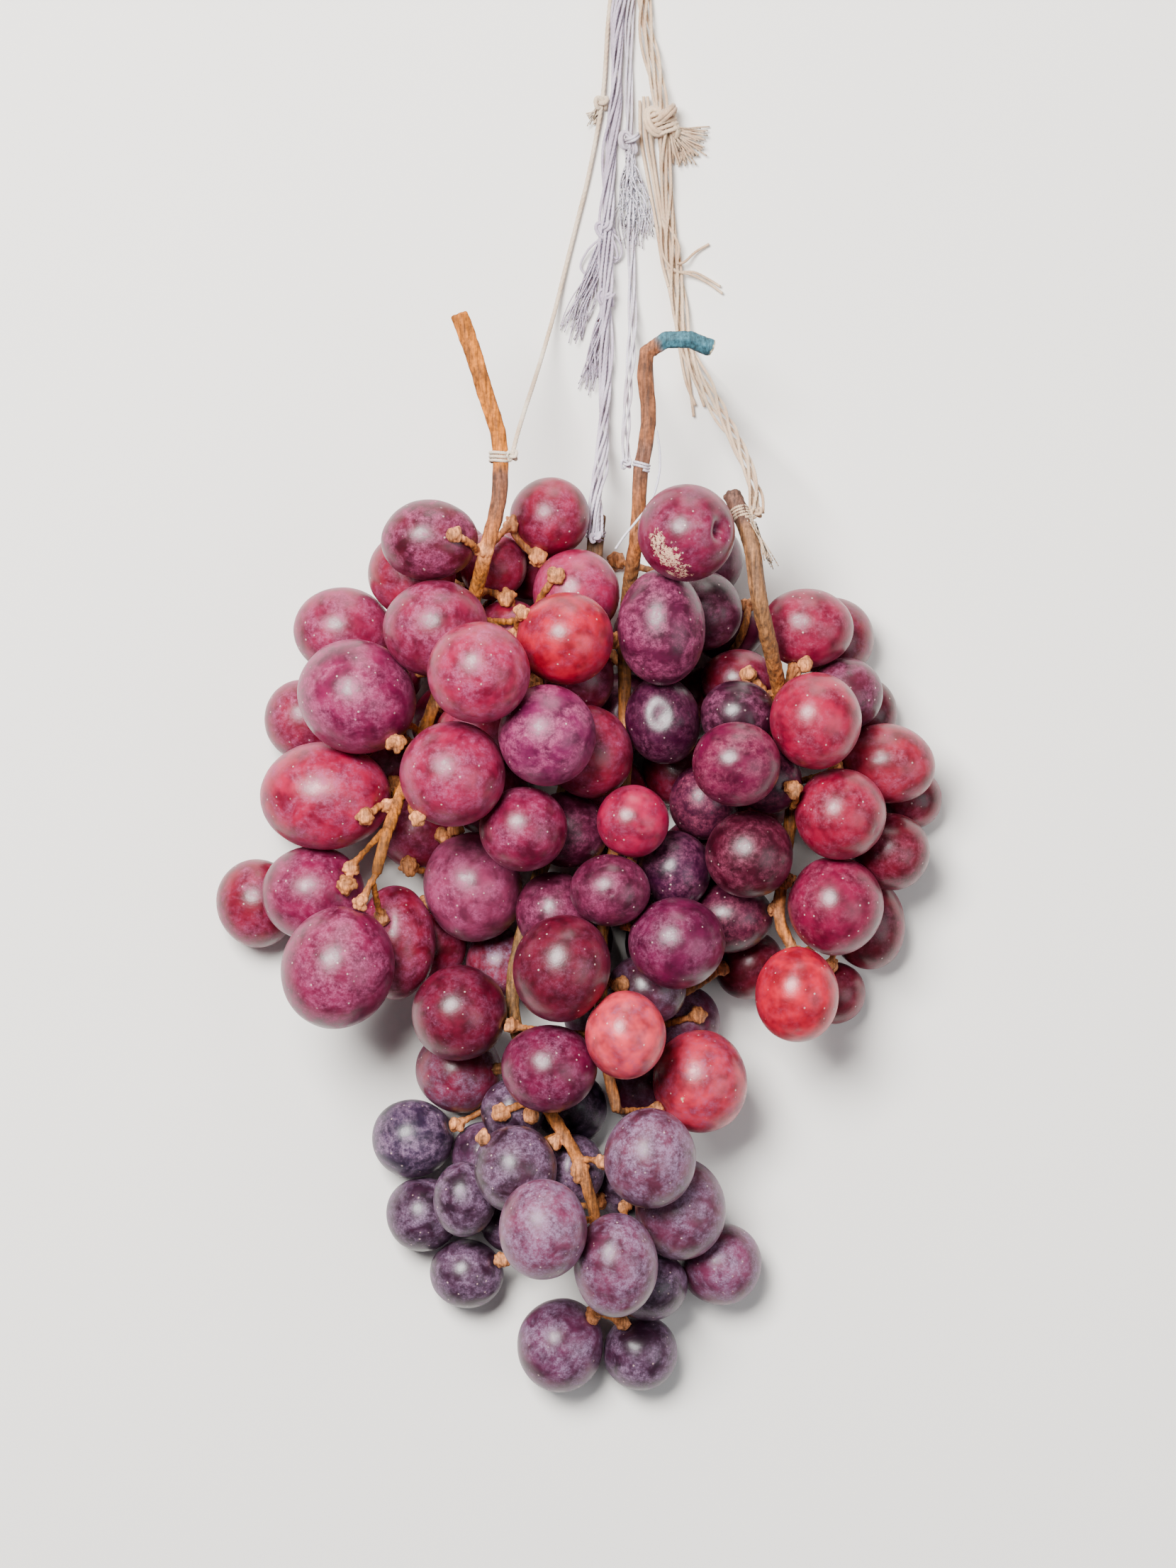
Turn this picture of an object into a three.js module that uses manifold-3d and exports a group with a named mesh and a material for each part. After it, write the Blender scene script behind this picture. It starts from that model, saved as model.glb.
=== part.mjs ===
// A bunch of red table grapes laid down on a flat surface, z = 0. It is four small bunches on
// four cut stems, tied together with cotton strings. Millimetres, +Z up, +Y towards the stems.
import * as THREE from 'three';
import { mergeVertices } from 'three/addons/utils/BufferGeometryUtils.js';
import Module from 'manifold-3d';

const wasm = await Module();
wasm.setup();

// ---------------------------------------------------------------- driving dimensions
const BERRY = 25; // across a typical berry
const BUNCH_WIDTH = 182; // across the berries
const BUNCH_LENGTH = 234; // along the berries, from the stems' side to the tip
const LAYER_RISE = 19; // from one layer of berries up to the next
const PEDUNCLE = 4.6; // thickness of a main stem where it was cut
const RACHIS = 2.6; // thickness of a main stem at its tip
const PEDICEL = 1.6; // thickness of a berry's own stalk
const RECEPTACLE = 3.6; // width of the warty end of that stalk
const RECEPTACLE_LENGTH = 2.2;
const REST_PRESS = 0.6; // how far a berry that rests on the surface is pressed flat
const GAP = 0.3; // between pieces that touch
const WRAP = 1.4; // thickness of a string where it is wound round its stem
const NECK = 5; // width of the place where joined berries press on each other
const GATHER_KNOT = 11; // width of the knot that gathers the strings

// The places below are drawn for this size of berries, and are stretched to the sizes above.
const DRAWN = { berry: 25, width: 182, length: 234 };

// Every berry: x, y, layer (0 rests on the surface), width, height and turn in degrees.
// A front berry is a piece of its own. Inner ones, which the front ones cover, are joined
// where they press on each other.
const BUNCHES = {
  left: {
    colour: '#9c4f6c',
    front: [
      [-36, 98, 2, 24, 20, 0],
      [-32, 86, 3, 26, 24, 10],
      [-55, 79, 1.5, 25, 22, 0],
      [-55, 65, 2.5, 30, 28, -30],
      [-23, 69, 3.3, 25, 25, 0],
      [-64, 36, 2, 33, 27, 0],
      [-28, 42, 3, 26, 26, 0],
      [-6, 54, 3, 24, 25, 0],
      [-13, 32, 2, 22, 21, 0],
      [-26, 13, 2.5, 25, 28, 15],
      [-68, 14, 1, 26, 24, 0],
      [-59, -4, 1.5, 28, 31, -20],
      [-3, 105, 1.5, 20, 20, 0],
      [5, 88, 2, 22, 22, 0],
      [-2, 79, 3, 24, 23, 0],
      [21, 84, 2, 22, 29, 0],
    ],
    inner: [
      [-40, 96, 1, 22, 22, 0],
      [-70, 57, 0.5, 21, 21, 0],
      [5, 46, 2, 22, 24, 20],
      [-80, 11, 0, 21, 23, 0],
      [-44, 2, 1, 20, 29, 0],
      [-35, -1, 0.3, 18, 20, 0],
      [-22, -4, 0, 18, 18, 0],
      [-51, 44, 1, 22, 20, 0],
      [-41, 31, 1, 20, 20, 0],
      [-19, 96, 1.5, 17, 17, 0],
      [-16, 83, 1.5, 20, 20, 0],
      [-42, 73, 1.2, 20, 20, 0],
      [8, 67, 2, 18, 20, 0],
      [-31, 56, 1.5, 20, 20, 0],
    ],
  },
  centre: {
    colour: '#64303f',
    front: [
      [32, 105, 3, 24, 24, 0],
      [18, 58, 1.8, 19, 22, 10],
      [13, 31, 2.3, 18, 18, 0],
      [28, 22, 1.8, 19, 20, 0],
      [24, 1, 2.2, 24, 23, 0],
      [-1, -5, 2.5, 24, 27, -15],
      [8, -22, 2, 20, 22, 0],
      [32, -34, 1.8, 24, 26, 10],
      [-23, -17, 1.8, 24, 24, 0],
      [-6, -32, 1.6, 24, 22, 0],
    ],
    inner: [
      [33, 86, 1, 20, 20, 0],
      [39, 81, 0.5, 18, 18, 0],
      [9, 15, 2, 20, 18, 0],
      [-6, 15, 1.3, 20, 22, 0],
      [19, -9, 1.2, 20, 18, 0],
      [26, -23, 1, 19, 19, 0],
      [-29, -34, 0.8, 22, 22, 0],
      [16, -35, 0.6, 19, 19, 0],
      [1, 29, 1, 20, 20, 0],
    ],
  },
  right: {
    colour: '#8e3447',
    front: [
      [62, 78, 1.5, 23, 20, 0],
      [58, 59, 2.5, 23, 24, 0],
      [42, 46, 2.3, 22, 21, 0],
      [79, 47, 1, 25, 20, -10],
      [68, 35, 2.3, 23, 23, 0],
      [48, 26, 1.8, 22, 22, 0],
      [63, 13, 2.2, 24, 25, 0],
      [57, -8, 1.5, 21, 24, 0],
    ],
    inner: [
      [43, 69, 1, 19, 17, 0],
      [29, 66, 0.8, 16, 16, 0],
      [69, 65, 1.5, 19, 19, 0],
      [38, 60, 1.7, 19, 18, 0],
      [81, 24, 0.8, 20, 21, 0],
      [76, 4, 1, 19, 24, 0],
      [43, 10, 1, 22, 19, 0],
      [69, -11, 0, 16, 16, 0],
      [46, -6, 0.3, 18, 18, 0],
      [85, 37, 0, 16, 16, 0],
      [34, 34, 0.8, 18, 19, 0],
      [26, 44, 0.8, 19, 19, 0],
      [55, 41, 1.2, 16, 17, 0],
      [76, 60, 0.5, 16, 18, 0],
    ],
  },
  lower: {
    colour: '#54455c',
    front: [
      [-40, -52, 1, 21, 20, 0],
      [-13, -58, 1.6, 21, 22, 0],
      [-8, -70, 2.4, 22, 25, 0],
      [17, -51, 2.2, 23, 25, 0],
      [27, -69, 1.8, 23, 26, 0],
      [9, -80, 2, 21, 26, 0],
      [35, -82, 1, 21, 21, 0],
      [-3, -105, 1.2, 22, 24, 0],
    ],
    inner: [
      [-37, -71, 0.5, 19, 19, 0],
      [-29, -66, 1.5, 16, 19, 0],
      [-26, -82, 0.5, 19, 18, 0],
      [-18, -46, 0.8, 16, 17, 0],
      [1, -44, 0.8, 19, 19, 0],
      [21, -90, 1, 19, 19, 0],
      [17, -105, 0.6, 19, 20, 0],
      [11, -62, 1, 18, 19, 0],
      [-19, -74, 0.6, 18, 18, 0],
      [-23, -55, 0.5, 18, 18, 0],
      [2, -58, 1, 18, 18, 0],
    ],
  },
};

// The covered berries are joined in groups about these places.
const INNER_GROUPS = {
  upper_left: [-46, 80],
  upper_middle: [-8, 78],
  left_side: [-58, 22],
  middle: [-14, 28],
  upper_right: [42, 70],
  right_side: [62, 14],
  lower_middle: [2, -22],
  tip: [-4, -72],
};

const STEM_COLOURS = { left: '#a4682f', centre: '#7a5738', right: '#6f4a2e', lower: '#7b5530' };

// The main stems, from the cut end down through the berries.
const STEMS = {
  left: [
    [-29, 160, 50], [-26, 152, 50], [-22, 139, 49], [-19, 129, 48], [-19, 113, 50],
    [-22, 101, 50], [-25, 90, 42], [-30, 76, 31], [-36, 62, 28], [-41, 48, 33], [-45, 36, 42],
    [-48, 27, 47], [-50, 19, 46],
  ],
  centre: [
    [35, 152, 44], [30, 154, 45], [23, 154, 45], [18.5, 151, 44.4], [18, 147, 44], [19, 133, 44],
    [17, 121, 45], [16, 105, 44], [14, 91, 36], [13, 77, 28], [13, 60, 27], [13, 41, 28],
    [8, 11, 28], [7, -11, 30], [8, -28, 37], [11, -42, 38],
  ],
  right: [
    [40, 115, 44], [43, 108, 48], [45, 101, 50], [47, 87, 50], [50, 75, 45], [53, 63, 34],
    [55, 50, 28], [56, 36, 27], [54, 19, 26], [53, 6, 26], [57, -2, 26],
  ],
  lower: [
    [6, 111, 20], [5.4, 103, 20], [3, 71, 17], [-3, 37, 18], [-12, 8, 20], [-16, -15, 24],
    [-10, -36, 28], [1, -55, 31], [6, -73, 29], [8, -94, 24],
  ],
};

// The strings, from the tie at the stem along the surface to the gathering knot. A knot is
// its place along the string and its thickness.
const STRINGS = {
  string_left: {
    thickness: 1.4,
    colour: '#d9cdb8',
    tie: { at: [-19, 124, 48.6], along: [0, -16, 2] },
    route: [
      [-15.6, 124.4, 48.2], [-14.6, 129, 45.5], [-12.6, 137, 35], [-10.2, 146, 21], [-7.6, 156, 9],
      [-5, 166, 3], [-2.6, 176, 1.2], [0.4, 188, 0.9], [3.4, 200, 0.9], [6, 213, 1.3],
      [7.2, 220, 1.9], [8, 228, 1.3], [8.8, 241, 0.9], [9.8, 250, 1.2], [11, 256.4, 2.2],
    ],
    knots: [[7.2, 220, 1.9]],
  },
  string_lower: {
    thickness: 3,
    colour: '#cfc8d6',
    tie: { at: [5.6, 106, 20], along: [-0.2, -1, 0] },
    route: [
      [5.6, 105, 24.3], [5.7, 111, 24.8], [6.2, 117, 21.6], [6.8, 124, 13.5], [7.2, 131, 6.4],
      [7.6, 140, 2.4], [8.2, 155, 2],
      [8.6, 169, 3], [8.4, 178, 2.4], [8.2, 187, 3], [9, 205, 1.8], [11.2, 221, 1.8],
      [11.4, 241, 1.8], [12.2, 249, 2.2], [13.1, 256.2, 3],
    ],
    knots: [[8.6, 169, 3], [8.2, 187, 3]],
  },
  string_centre: {
    thickness: 2,
    colour: '#d8d3dd',
    tie: { at: [17.1, 122, 45], along: [-2, -12, 1] },
    route: [
      [13.3, 122.6, 45], [13, 128, 41], [13.4, 136, 31], [14, 145, 19], [14.8, 154, 9],
      [15.2, 163, 3.6], [15.2, 172, 1.6], [15, 185, 1.3], [14.7, 199, 1.6], [14.6, 210, 2.3],
      [14.5, 224, 1.4], [14.4, 241, 1.3], [15, 249, 2], [15.6, 255.8, 3.2],
    ],
    knots: [[14.6, 210, 2.3]],
  },
  string_right: {
    thickness: 3,
    colour: '#d2bfa4',
    tie: { at: [42.4, 109.5, 47.2], along: [3, -7, 4] },
    route: [
      [46.3, 110, 47], [46.2, 115, 45.4], [44.8, 121, 40.4], [42.2, 128, 31], [39, 135, 20.6],
      [35.4, 143, 10.5], [31.8, 151, 4.6], [28.8, 160, 2.2], [27, 172, 1.8], [25, 187, 1.8], [24, 202, 2.4],
      [23.4, 215, 4.4], [21.2, 228, 2.4], [18.4, 241, 1.8], [18, 249, 2.2], [18, 256.2, 3],
    ],
    knots: [[23.4, 215, 4.4]],
  },
};
const LOOSE_THREAD = {
  thickness: 0.8,
  colour: '#e4e0ea',
  route: [
    [20.9, 131, 47.5], [21.6, 127, 46.6], [21.8, 122, 46.4], [21, 117, 47], [19, 112, 48.6],
    [16, 108, 49.4], [13, 104.4, 48.6], [10.6, 101, 46.6],
  ],
};
const GATHER_PLACE = [15.5, 261.5]; // where the gathering knot lies

// ---------------------------------------------------------------- solids

function toSolid(geometry) {
  const bare = geometry.clone();
  for (const name of Object.keys(bare.attributes)) {
    if (name !== 'position') bare.deleteAttribute(name);
  }
  const merged = mergeVertices(bare, 1e-4);
  return new wasm.Manifold(new wasm.Mesh({
    numProp: 3,
    vertProperties: new Float32Array(merged.attributes.position.array),
    triVerts: new Uint32Array(merged.index.array),
  }));
}

// Fills the small hollows that stalks can close off where they run side by side: a hollow is
// a shell that faces inwards, so its volume is negative.
function fillHollows(solid) {
  const shells = solid.decompose().filter((shell) => shell.volume() > 0);
  return shells.reduce((whole, shell) => whole.add(shell));
}

function toGeometry(solid) {
  const mesh = solid.getMesh();
  const geometry = new THREE.BufferGeometry();
  geometry.setAttribute('position', new THREE.BufferAttribute(mesh.vertProperties, 3));
  geometry.setIndex(new THREE.BufferAttribute(mesh.triVerts, 1));
  geometry.computeVertexNormals();
  return geometry;
}

function tube(points, radius, sides, steps) {
  const outline = new THREE.Shape();
  for (let i = 0; i < sides; i += 1) {
    const turn = (2 * Math.PI * i) / sides;
    if (i === 0) outline.moveTo(radius, 0);
    else outline.lineTo(radius * Math.cos(turn), radius * Math.sin(turn));
  }
  const curve = new THREE.CatmullRomCurve3(points);
  const options = { steps, bevelEnabled: false, extrudePath: curve };
  return new THREE.ExtrudeGeometry(outline, options);
}

// ---------------------------------------------------------------- berries

function place([x, y, z]) {
  return new THREE.Vector3(
    (x * BUNCH_WIDTH) / DRAWN.width,
    (y * BUNCH_LENGTH) / DRAWN.length,
    z,
  );
}

function makeBerry(bunch, front, [x, y, layer, width, height, turn]) {
  const size = BERRY / DRAWN.berry / 2;
  const home = place([x, y, 0]);
  home.z = (BERRY / 2) + (layer * LAYER_RISE);
  return {
    bunch,
    front,
    drawn: [x, y],
    layer,
    home,
    centre: home.clone(),
    half: new THREE.Vector3(width * size, height * size, Math.min(width, height) * size),
    turn: THREE.MathUtils.degToRad(turn),
  };
}

// The berries at the back, on a hexagonal grid, wherever a listed berry covers the place and
// none already lies in it.
function backBerries(listed) {
  const found = [];
  const pitch = DRAWN.berry * 0.9;
  const row = pitch * Math.sqrt(0.75);
  const rows = Math.ceil(DRAWN.length / row / 2);
  const columns = Math.ceil(DRAWN.width / pitch / 2);
  for (let j = -rows; j <= rows; j += 1) {
    for (let i = -columns; i <= columns; i += 1) {
      const x = (i * pitch) + (j % 2 === 0 ? 0 : pitch / 2);
      const y = j * row;
      const away = listed.map((berry) => Math.hypot(berry.drawn[0] - x, berry.drawn[1] - y));
      const covered = away.some((distance, k) => distance < 9 && listed[k].layer >= 1.5);
      const taken = away.some((distance, k) => {
        const rise = listed[k].layer * LAYER_RISE;
        return Math.hypot(distance, rise) < DRAWN.berry * 0.72;
      });
      if (covered && !taken) {
        const nearest = listed[away.indexOf(Math.min(...away))];
        found.push(makeBerry(nearest.bunch, false, [x, y, 0, 21, 21, 0]));
      }
    }
  }
  return found;
}

// How far a berry reaches from its centre towards a direction.
function reach(berry, direction) {
  const cos = Math.cos(berry.turn);
  const sin = Math.sin(berry.turn);
  const x = ((direction.x * cos) + (direction.y * sin)) * berry.half.x;
  const y = ((direction.y * cos) - (direction.x * sin)) * berry.half.y;
  return Math.hypot(x, y, direction.z * berry.half.z);
}

function nearestOnRoute(route, point) {
  const line = new THREE.Line3();
  const best = { point: new THREE.Vector3(), distance: Infinity, along: 0 };
  const here = new THREE.Vector3();
  for (let i = 0; i + 1 < route.length; i += 1) {
    line.set(route[i], route[i + 1]);
    line.closestPointToPoint(point, true, here);
    const distance = here.distanceTo(point);
    if (distance < best.distance) {
      best.distance = distance;
      best.point.copy(here);
      best.along = i / (route.length - 1);
    }
  }
  return best;
}

// Lets the berries down onto the surface and onto each other, and pushes them apart from each
// other and from the main stems and strings.
function settle(berries, lines) {
  const DOWN = new THREE.Vector3(0, 0, -1);
  const CLEAR = GAP + 0.1;
  const SIDEWAYS = 0.35;
  const FALLING = 500;
  const PARTING = 1500;
  const n = new THREE.Vector3();
  for (let turn = 0; turn < FALLING + PARTING; turn += 1) {
    const falling = turn < FALLING;
    if (falling) {
      for (const berry of berries) {
        berry.centre.x += (berry.home.x - berry.centre.x) * 0.03;
        berry.centre.y += (berry.home.y - berry.centre.y) * 0.03;
        berry.centre.z -= 0.12;
      }
    }
    let worst = 0;
    for (let i = 0; i < berries.length; i += 1) {
      const a = berries[i];
      for (let j = i + 1; j < berries.length; j += 1) {
        const b = berries[j];
        n.subVectors(b.centre, a.centre);
        const distance = n.length();
        if (distance < BERRY * 2) {
          n.divideScalar(distance);
          const overlap = reach(a, n) + reach(b, n) + CLEAR - distance;
          if (overlap > 0) {
            worst = Math.max(worst, overlap);
            const side = falling ? SIDEWAYS : 1;
            n.multiplyScalar(overlap * 0.5);
            n.x *= side;
            n.y *= side;
            a.centre.sub(n);
            b.centre.add(n);
          }
        }
      }
    }
    for (const berry of berries) {
      for (const line of lines) {
        const near = nearestOnRoute(line.route, berry.centre);
        if (near.distance < BERRY) {
          n.subVectors(berry.centre, near.point).divideScalar(near.distance);
          const overlap = reach(berry, n) + line.clear - near.distance;
          if (overlap > 0) {
            worst = Math.max(worst, overlap);
            berry.centre.addScaledVector(n, overlap);
          }
        }
      }
      const lowest = berry.centre.z - reach(berry, DOWN) + REST_PRESS;
      if (lowest < 0) berry.centre.z -= lowest;
    }
    if (!falling && worst < 0.02) return;
  }
}

const berries = [];
for (const [bunch, list] of Object.entries(BUNCHES)) {
  for (const row of list.front) berries.push(makeBerry(bunch, true, row));
  for (const row of list.inner) berries.push(makeBerry(bunch, false, row));
}
berries.push(...backBerries(berries));

const stems = [];
for (const [bunch, route] of Object.entries(STEMS)) {
  const points = route.map(place);
  const clear = (PEDUNCLE / 2) + GAP;
  stems.push({ bunch, points, clear, route: new THREE.CatmullRomCurve3(points).getPoints(80) });
}
const cords = [];
for (const [name, string] of Object.entries({ ...STRINGS, loose_thread: LOOSE_THREAD })) {
  const points = string.route.map((point) => new THREE.Vector3(...point));
  const clear = (string.thickness / 2) + GAP;
  const route = new THREE.CatmullRomCurve3(points).getPoints(60);
  cords.push({ name, ...string, points, clear, route });
}
const ties = cords.filter((cord) => cord.tie).map(({ tie, thickness }) => {
  const at = new THREE.Vector3(...tie.at);
  const clear = (PEDUNCLE / 2) + Math.min(thickness, WRAP) + (GAP * 2);
  return { clear, route: [at, at.clone().addScaledVector(new THREE.Vector3(...tie.along), 0.1)] };
});
settle(berries, [...stems, ...cords, ...ties]);

// The solid of a berry: a ball with a corner at its stem end, stretched to the berry's size.
// A front berry is an even ball of 80 faces and a covered one is plainer.
function berrySolid(berry) {
  const ball = berry.front
    ? new THREE.IcosahedronGeometry(1, 1)
    : new THREE.SphereGeometry(1, 7, 5);
  const corner = new THREE.Vector3().fromBufferAttribute(ball.attributes.position, 0).normalize();
  const turn = new THREE.Matrix4().makeRotationZ(berry.turn);
  const stemEnd = berry.stemEnd.clone().sub(berry.centre);
  stemEnd.applyMatrix4(turn.clone().invert()).divide(berry.half).normalize();
  ball.applyQuaternion(new THREE.Quaternion().setFromUnitVectors(corner, stemEnd));
  ball.scale(berry.half.x, berry.half.y, berry.half.z);
  ball.applyMatrix4(turn);
  ball.translate(berry.centre.x, berry.centre.y, berry.centre.z);
  return toSolid(ball);
}

// ---------------------------------------------------------------- stalks between the berries

const CELL = 1.5; // between the points of the grid on which the stalks look for room
const TIGHT = 0.6; // least room at a point that a stalk may pass
const BARE_COST = 1.5; // how much a stalk avoids running where it isn't covered

// The room at every point of a grid: the distance to the nearest berry, or to the surface.
function measureRoom() {
  const box = new THREE.Box3();
  for (const berry of berries) box.expandByPoint(berry.centre);
  box.expandByScalar(BERRY * 0.8);
  box.min.z = 0;
  const size = box.getSize(new THREE.Vector3()).divideScalar(CELL).ceil().toArray();
  const room = {
    low: box.min,
    size,
    clear: new Float32Array(size[0] * size[1] * size[2]),
    roof: new Float32Array(size[0] * size[1]),
  };
  const point = new THREE.Vector3();
  room.clear.fill(BERRY);
  for (const berry of berries) {
    const span = BERRY * 0.9;
    const from = cellOf(room, berry.centre.clone().subScalar(span));
    const to = cellOf(room, berry.centre.clone().addScalar(span));
    for (let k = from[2]; k <= to[2]; k += 1) {
      for (let j = from[1]; j <= to[1]; j += 1) {
        for (let i = from[0]; i <= to[0]; i += 1) {
          const at = (((k * size[1]) + j) * size[0]) + i;
          pointOf(room, i, j, k, point);
          const gap = gapTo(berry, point);
          room.clear[at] = Math.min(room.clear[at], gap, point.z - PEDICEL);
          const column = (j * size[0]) + i;
          if (gap < 0) room.roof[column] = Math.max(room.roof[column], point.z);
        }
      }
    }
  }
  return room;
}

// A copy of the room in which other bunches' stems and stalks take up their space.
function roomBeside(room, lines) {
  const clear = room.clear.slice();
  const point = new THREE.Vector3();
  for (const line of lines) {
    const span = line.radius + (PEDICEL * 2);
    for (const along of line.points) {
      const from = cellOf(room, along.clone().subScalar(span));
      const to = cellOf(room, along.clone().addScalar(span));
      for (let k = from[2]; k <= to[2]; k += 1) {
        for (let j = from[1]; j <= to[1]; j += 1) {
          for (let i = from[0]; i <= to[0]; i += 1) {
            const at = (((k * room.size[1]) + j) * room.size[0]) + i;
            const gap = pointOf(room, i, j, k, point).distanceTo(along) - line.radius;
            clear[at] = Math.min(clear[at], gap - GAP);
          }
        }
      }
    }
  }
  return { ...room, clear };
}

function cellOf(room, point) {
  return ['x', 'y', 'z'].map((axis, k) => {
    const cell = Math.round((point[axis] - room.low[axis]) / CELL);
    return THREE.MathUtils.clamp(cell, 0, room.size[k] - 1);
  });
}

function pointOf(room, i, j, k, target = new THREE.Vector3()) {
  return target.set(i, j, k).multiplyScalar(CELL).add(room.low);
}

// The distance from a point to a berry's skin, along the line to its centre.
function gapTo(berry, point) {
  const away = point.clone().sub(berry.centre);
  const cos = Math.cos(berry.turn);
  const sin = Math.sin(berry.turn);
  const x = ((away.x * cos) + (away.y * sin)) / berry.half.x;
  const y = ((away.y * cos) - (away.x * sin)) / berry.half.y;
  const inside = Math.hypot(x, y, away.z / berry.half.z);
  return inside < 1e-6 ? -berry.half.x : away.length() * (1 - (1 / inside)) * 0.97;
}

// The cheapest ways from a main stem to every open point of the grid. A way costs its length,
// more where it is tight, where it leaves the bunch and where no berry lies above it.
function spreadFrom(room, route) {
  const [nx, ny, nz] = room.size;
  const cost = new Float64Array(nx * ny * nz).fill(Infinity);
  const from = new Int32Array(nx * ny * nz).fill(-1);
  const queue = [];
  for (const point of route) {
    const [i, j, k] = cellOf(room, point);
    const at = (((k * ny) + j) * nx) + i;
    if (cost[at] > 0) {
      cost[at] = 0;
      pushQueue(queue, at, 0);
    }
  }
  while (queue.length > 0) {
    const { at, value } = popQueue(queue);
    if (value > cost[at]) continue;
    const i = at % nx;
    const j = Math.floor(at / nx) % ny;
    const k = Math.floor(at / (nx * ny));
    for (let step = 0; step < 27; step += 1) {
      const di = (step % 3) - 1;
      const dj = (Math.floor(step / 3) % 3) - 1;
      const dk = Math.floor(step / 9) - 1;
      const [x, y, z] = [i + di, j + dj, k + dk];
      const inside = x >= 0 && y >= 0 && z >= 0 && x < nx && y < ny && z < nz;
      const next = (((z * ny) + y) * nx) + x;
      if (inside && room.clear[next] >= TIGHT && room.clear[next] < BERRY * 0.35) {
        const length = Math.hypot(di, dj, dk) * CELL;
        const tight = Math.max(0, (PEDICEL * 1.2) - room.clear[next]) * 2;
        const open = Math.max(0, room.clear[next] - (PEDICEL * 2.5)) * 1.5;
        const bare = room.low.z + (z * CELL) > room.roof[(y * nx) + x] ? BARE_COST : 0;
        const total = value + (length * (1 + tight + open + bare));
        if (total < cost[next]) {
          cost[next] = total;
          from[next] = at;
          pushQueue(queue, next, total);
        }
      }
    }
  }
  return { cost, from };
}

function pushQueue(queue, at, value) {
  queue.push({ at, value });
  let child = queue.length - 1;
  while (child > 0) {
    const parent = (child - 1) >> 1;
    if (queue[parent].value <= queue[child].value) break;
    [queue[parent], queue[child]] = [queue[child], queue[parent]];
    child = parent;
  }
}

function popQueue(queue) {
  const first = queue[0];
  const last = queue.pop();
  if (queue.length > 0) {
    queue[0] = last;
    let parent = 0;
    for (;;) {
      let child = (parent * 2) + 1;
      if (child >= queue.length) break;
      if (child + 1 < queue.length && queue[child + 1].value < queue[child].value) child += 1;
      if (queue[parent].value <= queue[child].value) break;
      [queue[parent], queue[child]] = [queue[child], queue[parent]];
      parent = child;
    }
  }
  return first;
}

// The normal of a berry's skin at a point on it.
function skinNormal(berry, point) {
  const turn = new THREE.Matrix4().makeRotationZ(berry.turn);
  const away = point.clone().sub(berry.centre).applyMatrix4(turn.clone().invert());
  away.divide(berry.half).divide(berry.half);
  return away.applyMatrix4(turn).normalize();
}

// Turns a berry's stem end to where its stalk has room, by the cheapest way to its main stem.
function chooseStemEnd(berry, room, ways, route) {
  const TRIES = 240;
  const others = berries.filter((other) => other !== berry
    && other.centre.distanceTo(berry.centre) < BERRY * 1.7);
  const wanted = nearestOnRoute(route, berry.centre).point.sub(berry.centre).normalize();
  const turn = new THREE.Matrix4().makeRotationZ(berry.turn);
  let best = { cost: Infinity };
  for (let i = 0; i < TRIES; i += 1) {
    const z = 1 - ((2 * i) + 1) / TRIES;
    const angle = i * Math.PI * (3 - Math.sqrt(5));
    const ring = Math.sqrt(1 - (z * z));
    const way = new THREE.Vector3(ring * Math.cos(angle), ring * Math.sin(angle), z);
    const stemEnd = way.clone().multiply(berry.half).applyMatrix4(turn).add(berry.centre);
    const normal = skinNormal(berry, stemEnd);
    const tip = stemEnd.clone().addScaledVector(normal, GAP + (RECEPTACLE_LENGTH / 2));
    const beyond = stemEnd.clone().addScaledVector(normal, GAP + RECEPTACLE_LENGTH + CELL);
    const room1 = Math.min(...others.map((other) => gapTo(other, tip)), tip.z);
    const room2 = Math.min(...others.map((other) => gapTo(other, beyond)), beyond.z);
    if (room1 < (RECEPTACLE / 2) + GAP + 0.2 || room2 < (PEDICEL / 2) + GAP) continue;
    const [ci, cj, ck] = cellOf(room, beyond);
    const at = (((ck * room.size[1]) + cj) * room.size[0]) + ci;
    const bend = 1 - normal.dot(wanted);
    const cost = ways.cost[at] + (bend * BERRY * 0.8);
    if (cost < best.cost) best = { cost, at, stemEnd, normal };
  }
  return best;
}

// Slides the free points of a stalk away from the berries until it has room.
function relaxStalk(points, fixedEnds, lines) {
  const need = (PEDICEL / 2) + GAP + 0.15;
  const push = new THREE.Vector3();
  for (let turn = 0; turn < 60; turn += 1) {
    for (let i = 1; i + fixedEnds < points.length; i += 1) {
      if (turn < 40) {
        push.addVectors(points[i - 1], points[i + 1]).multiplyScalar(0.5);
        points[i].lerp(push, 0.3);
      }
      for (const berry of berries) {
        const gap = gapTo(berry, points[i]);
        if (gap < need) {
          push.copy(skinNormal(berry, points[i])).multiplyScalar((need - gap) * 0.7);
          points[i].add(push);
        }
      }
      for (const line of lines) {
        const near = nearestOnRoute(line.points, points[i]);
        const gap = near.distance - line.radius;
        if (gap < need) {
          push.subVectors(points[i], near.point).setLength((need - gap) * 0.7);
          points[i].add(push);
        }
      }
      points[i].z = Math.max(points[i].z, need + GAP);
    }
  }
}

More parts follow.
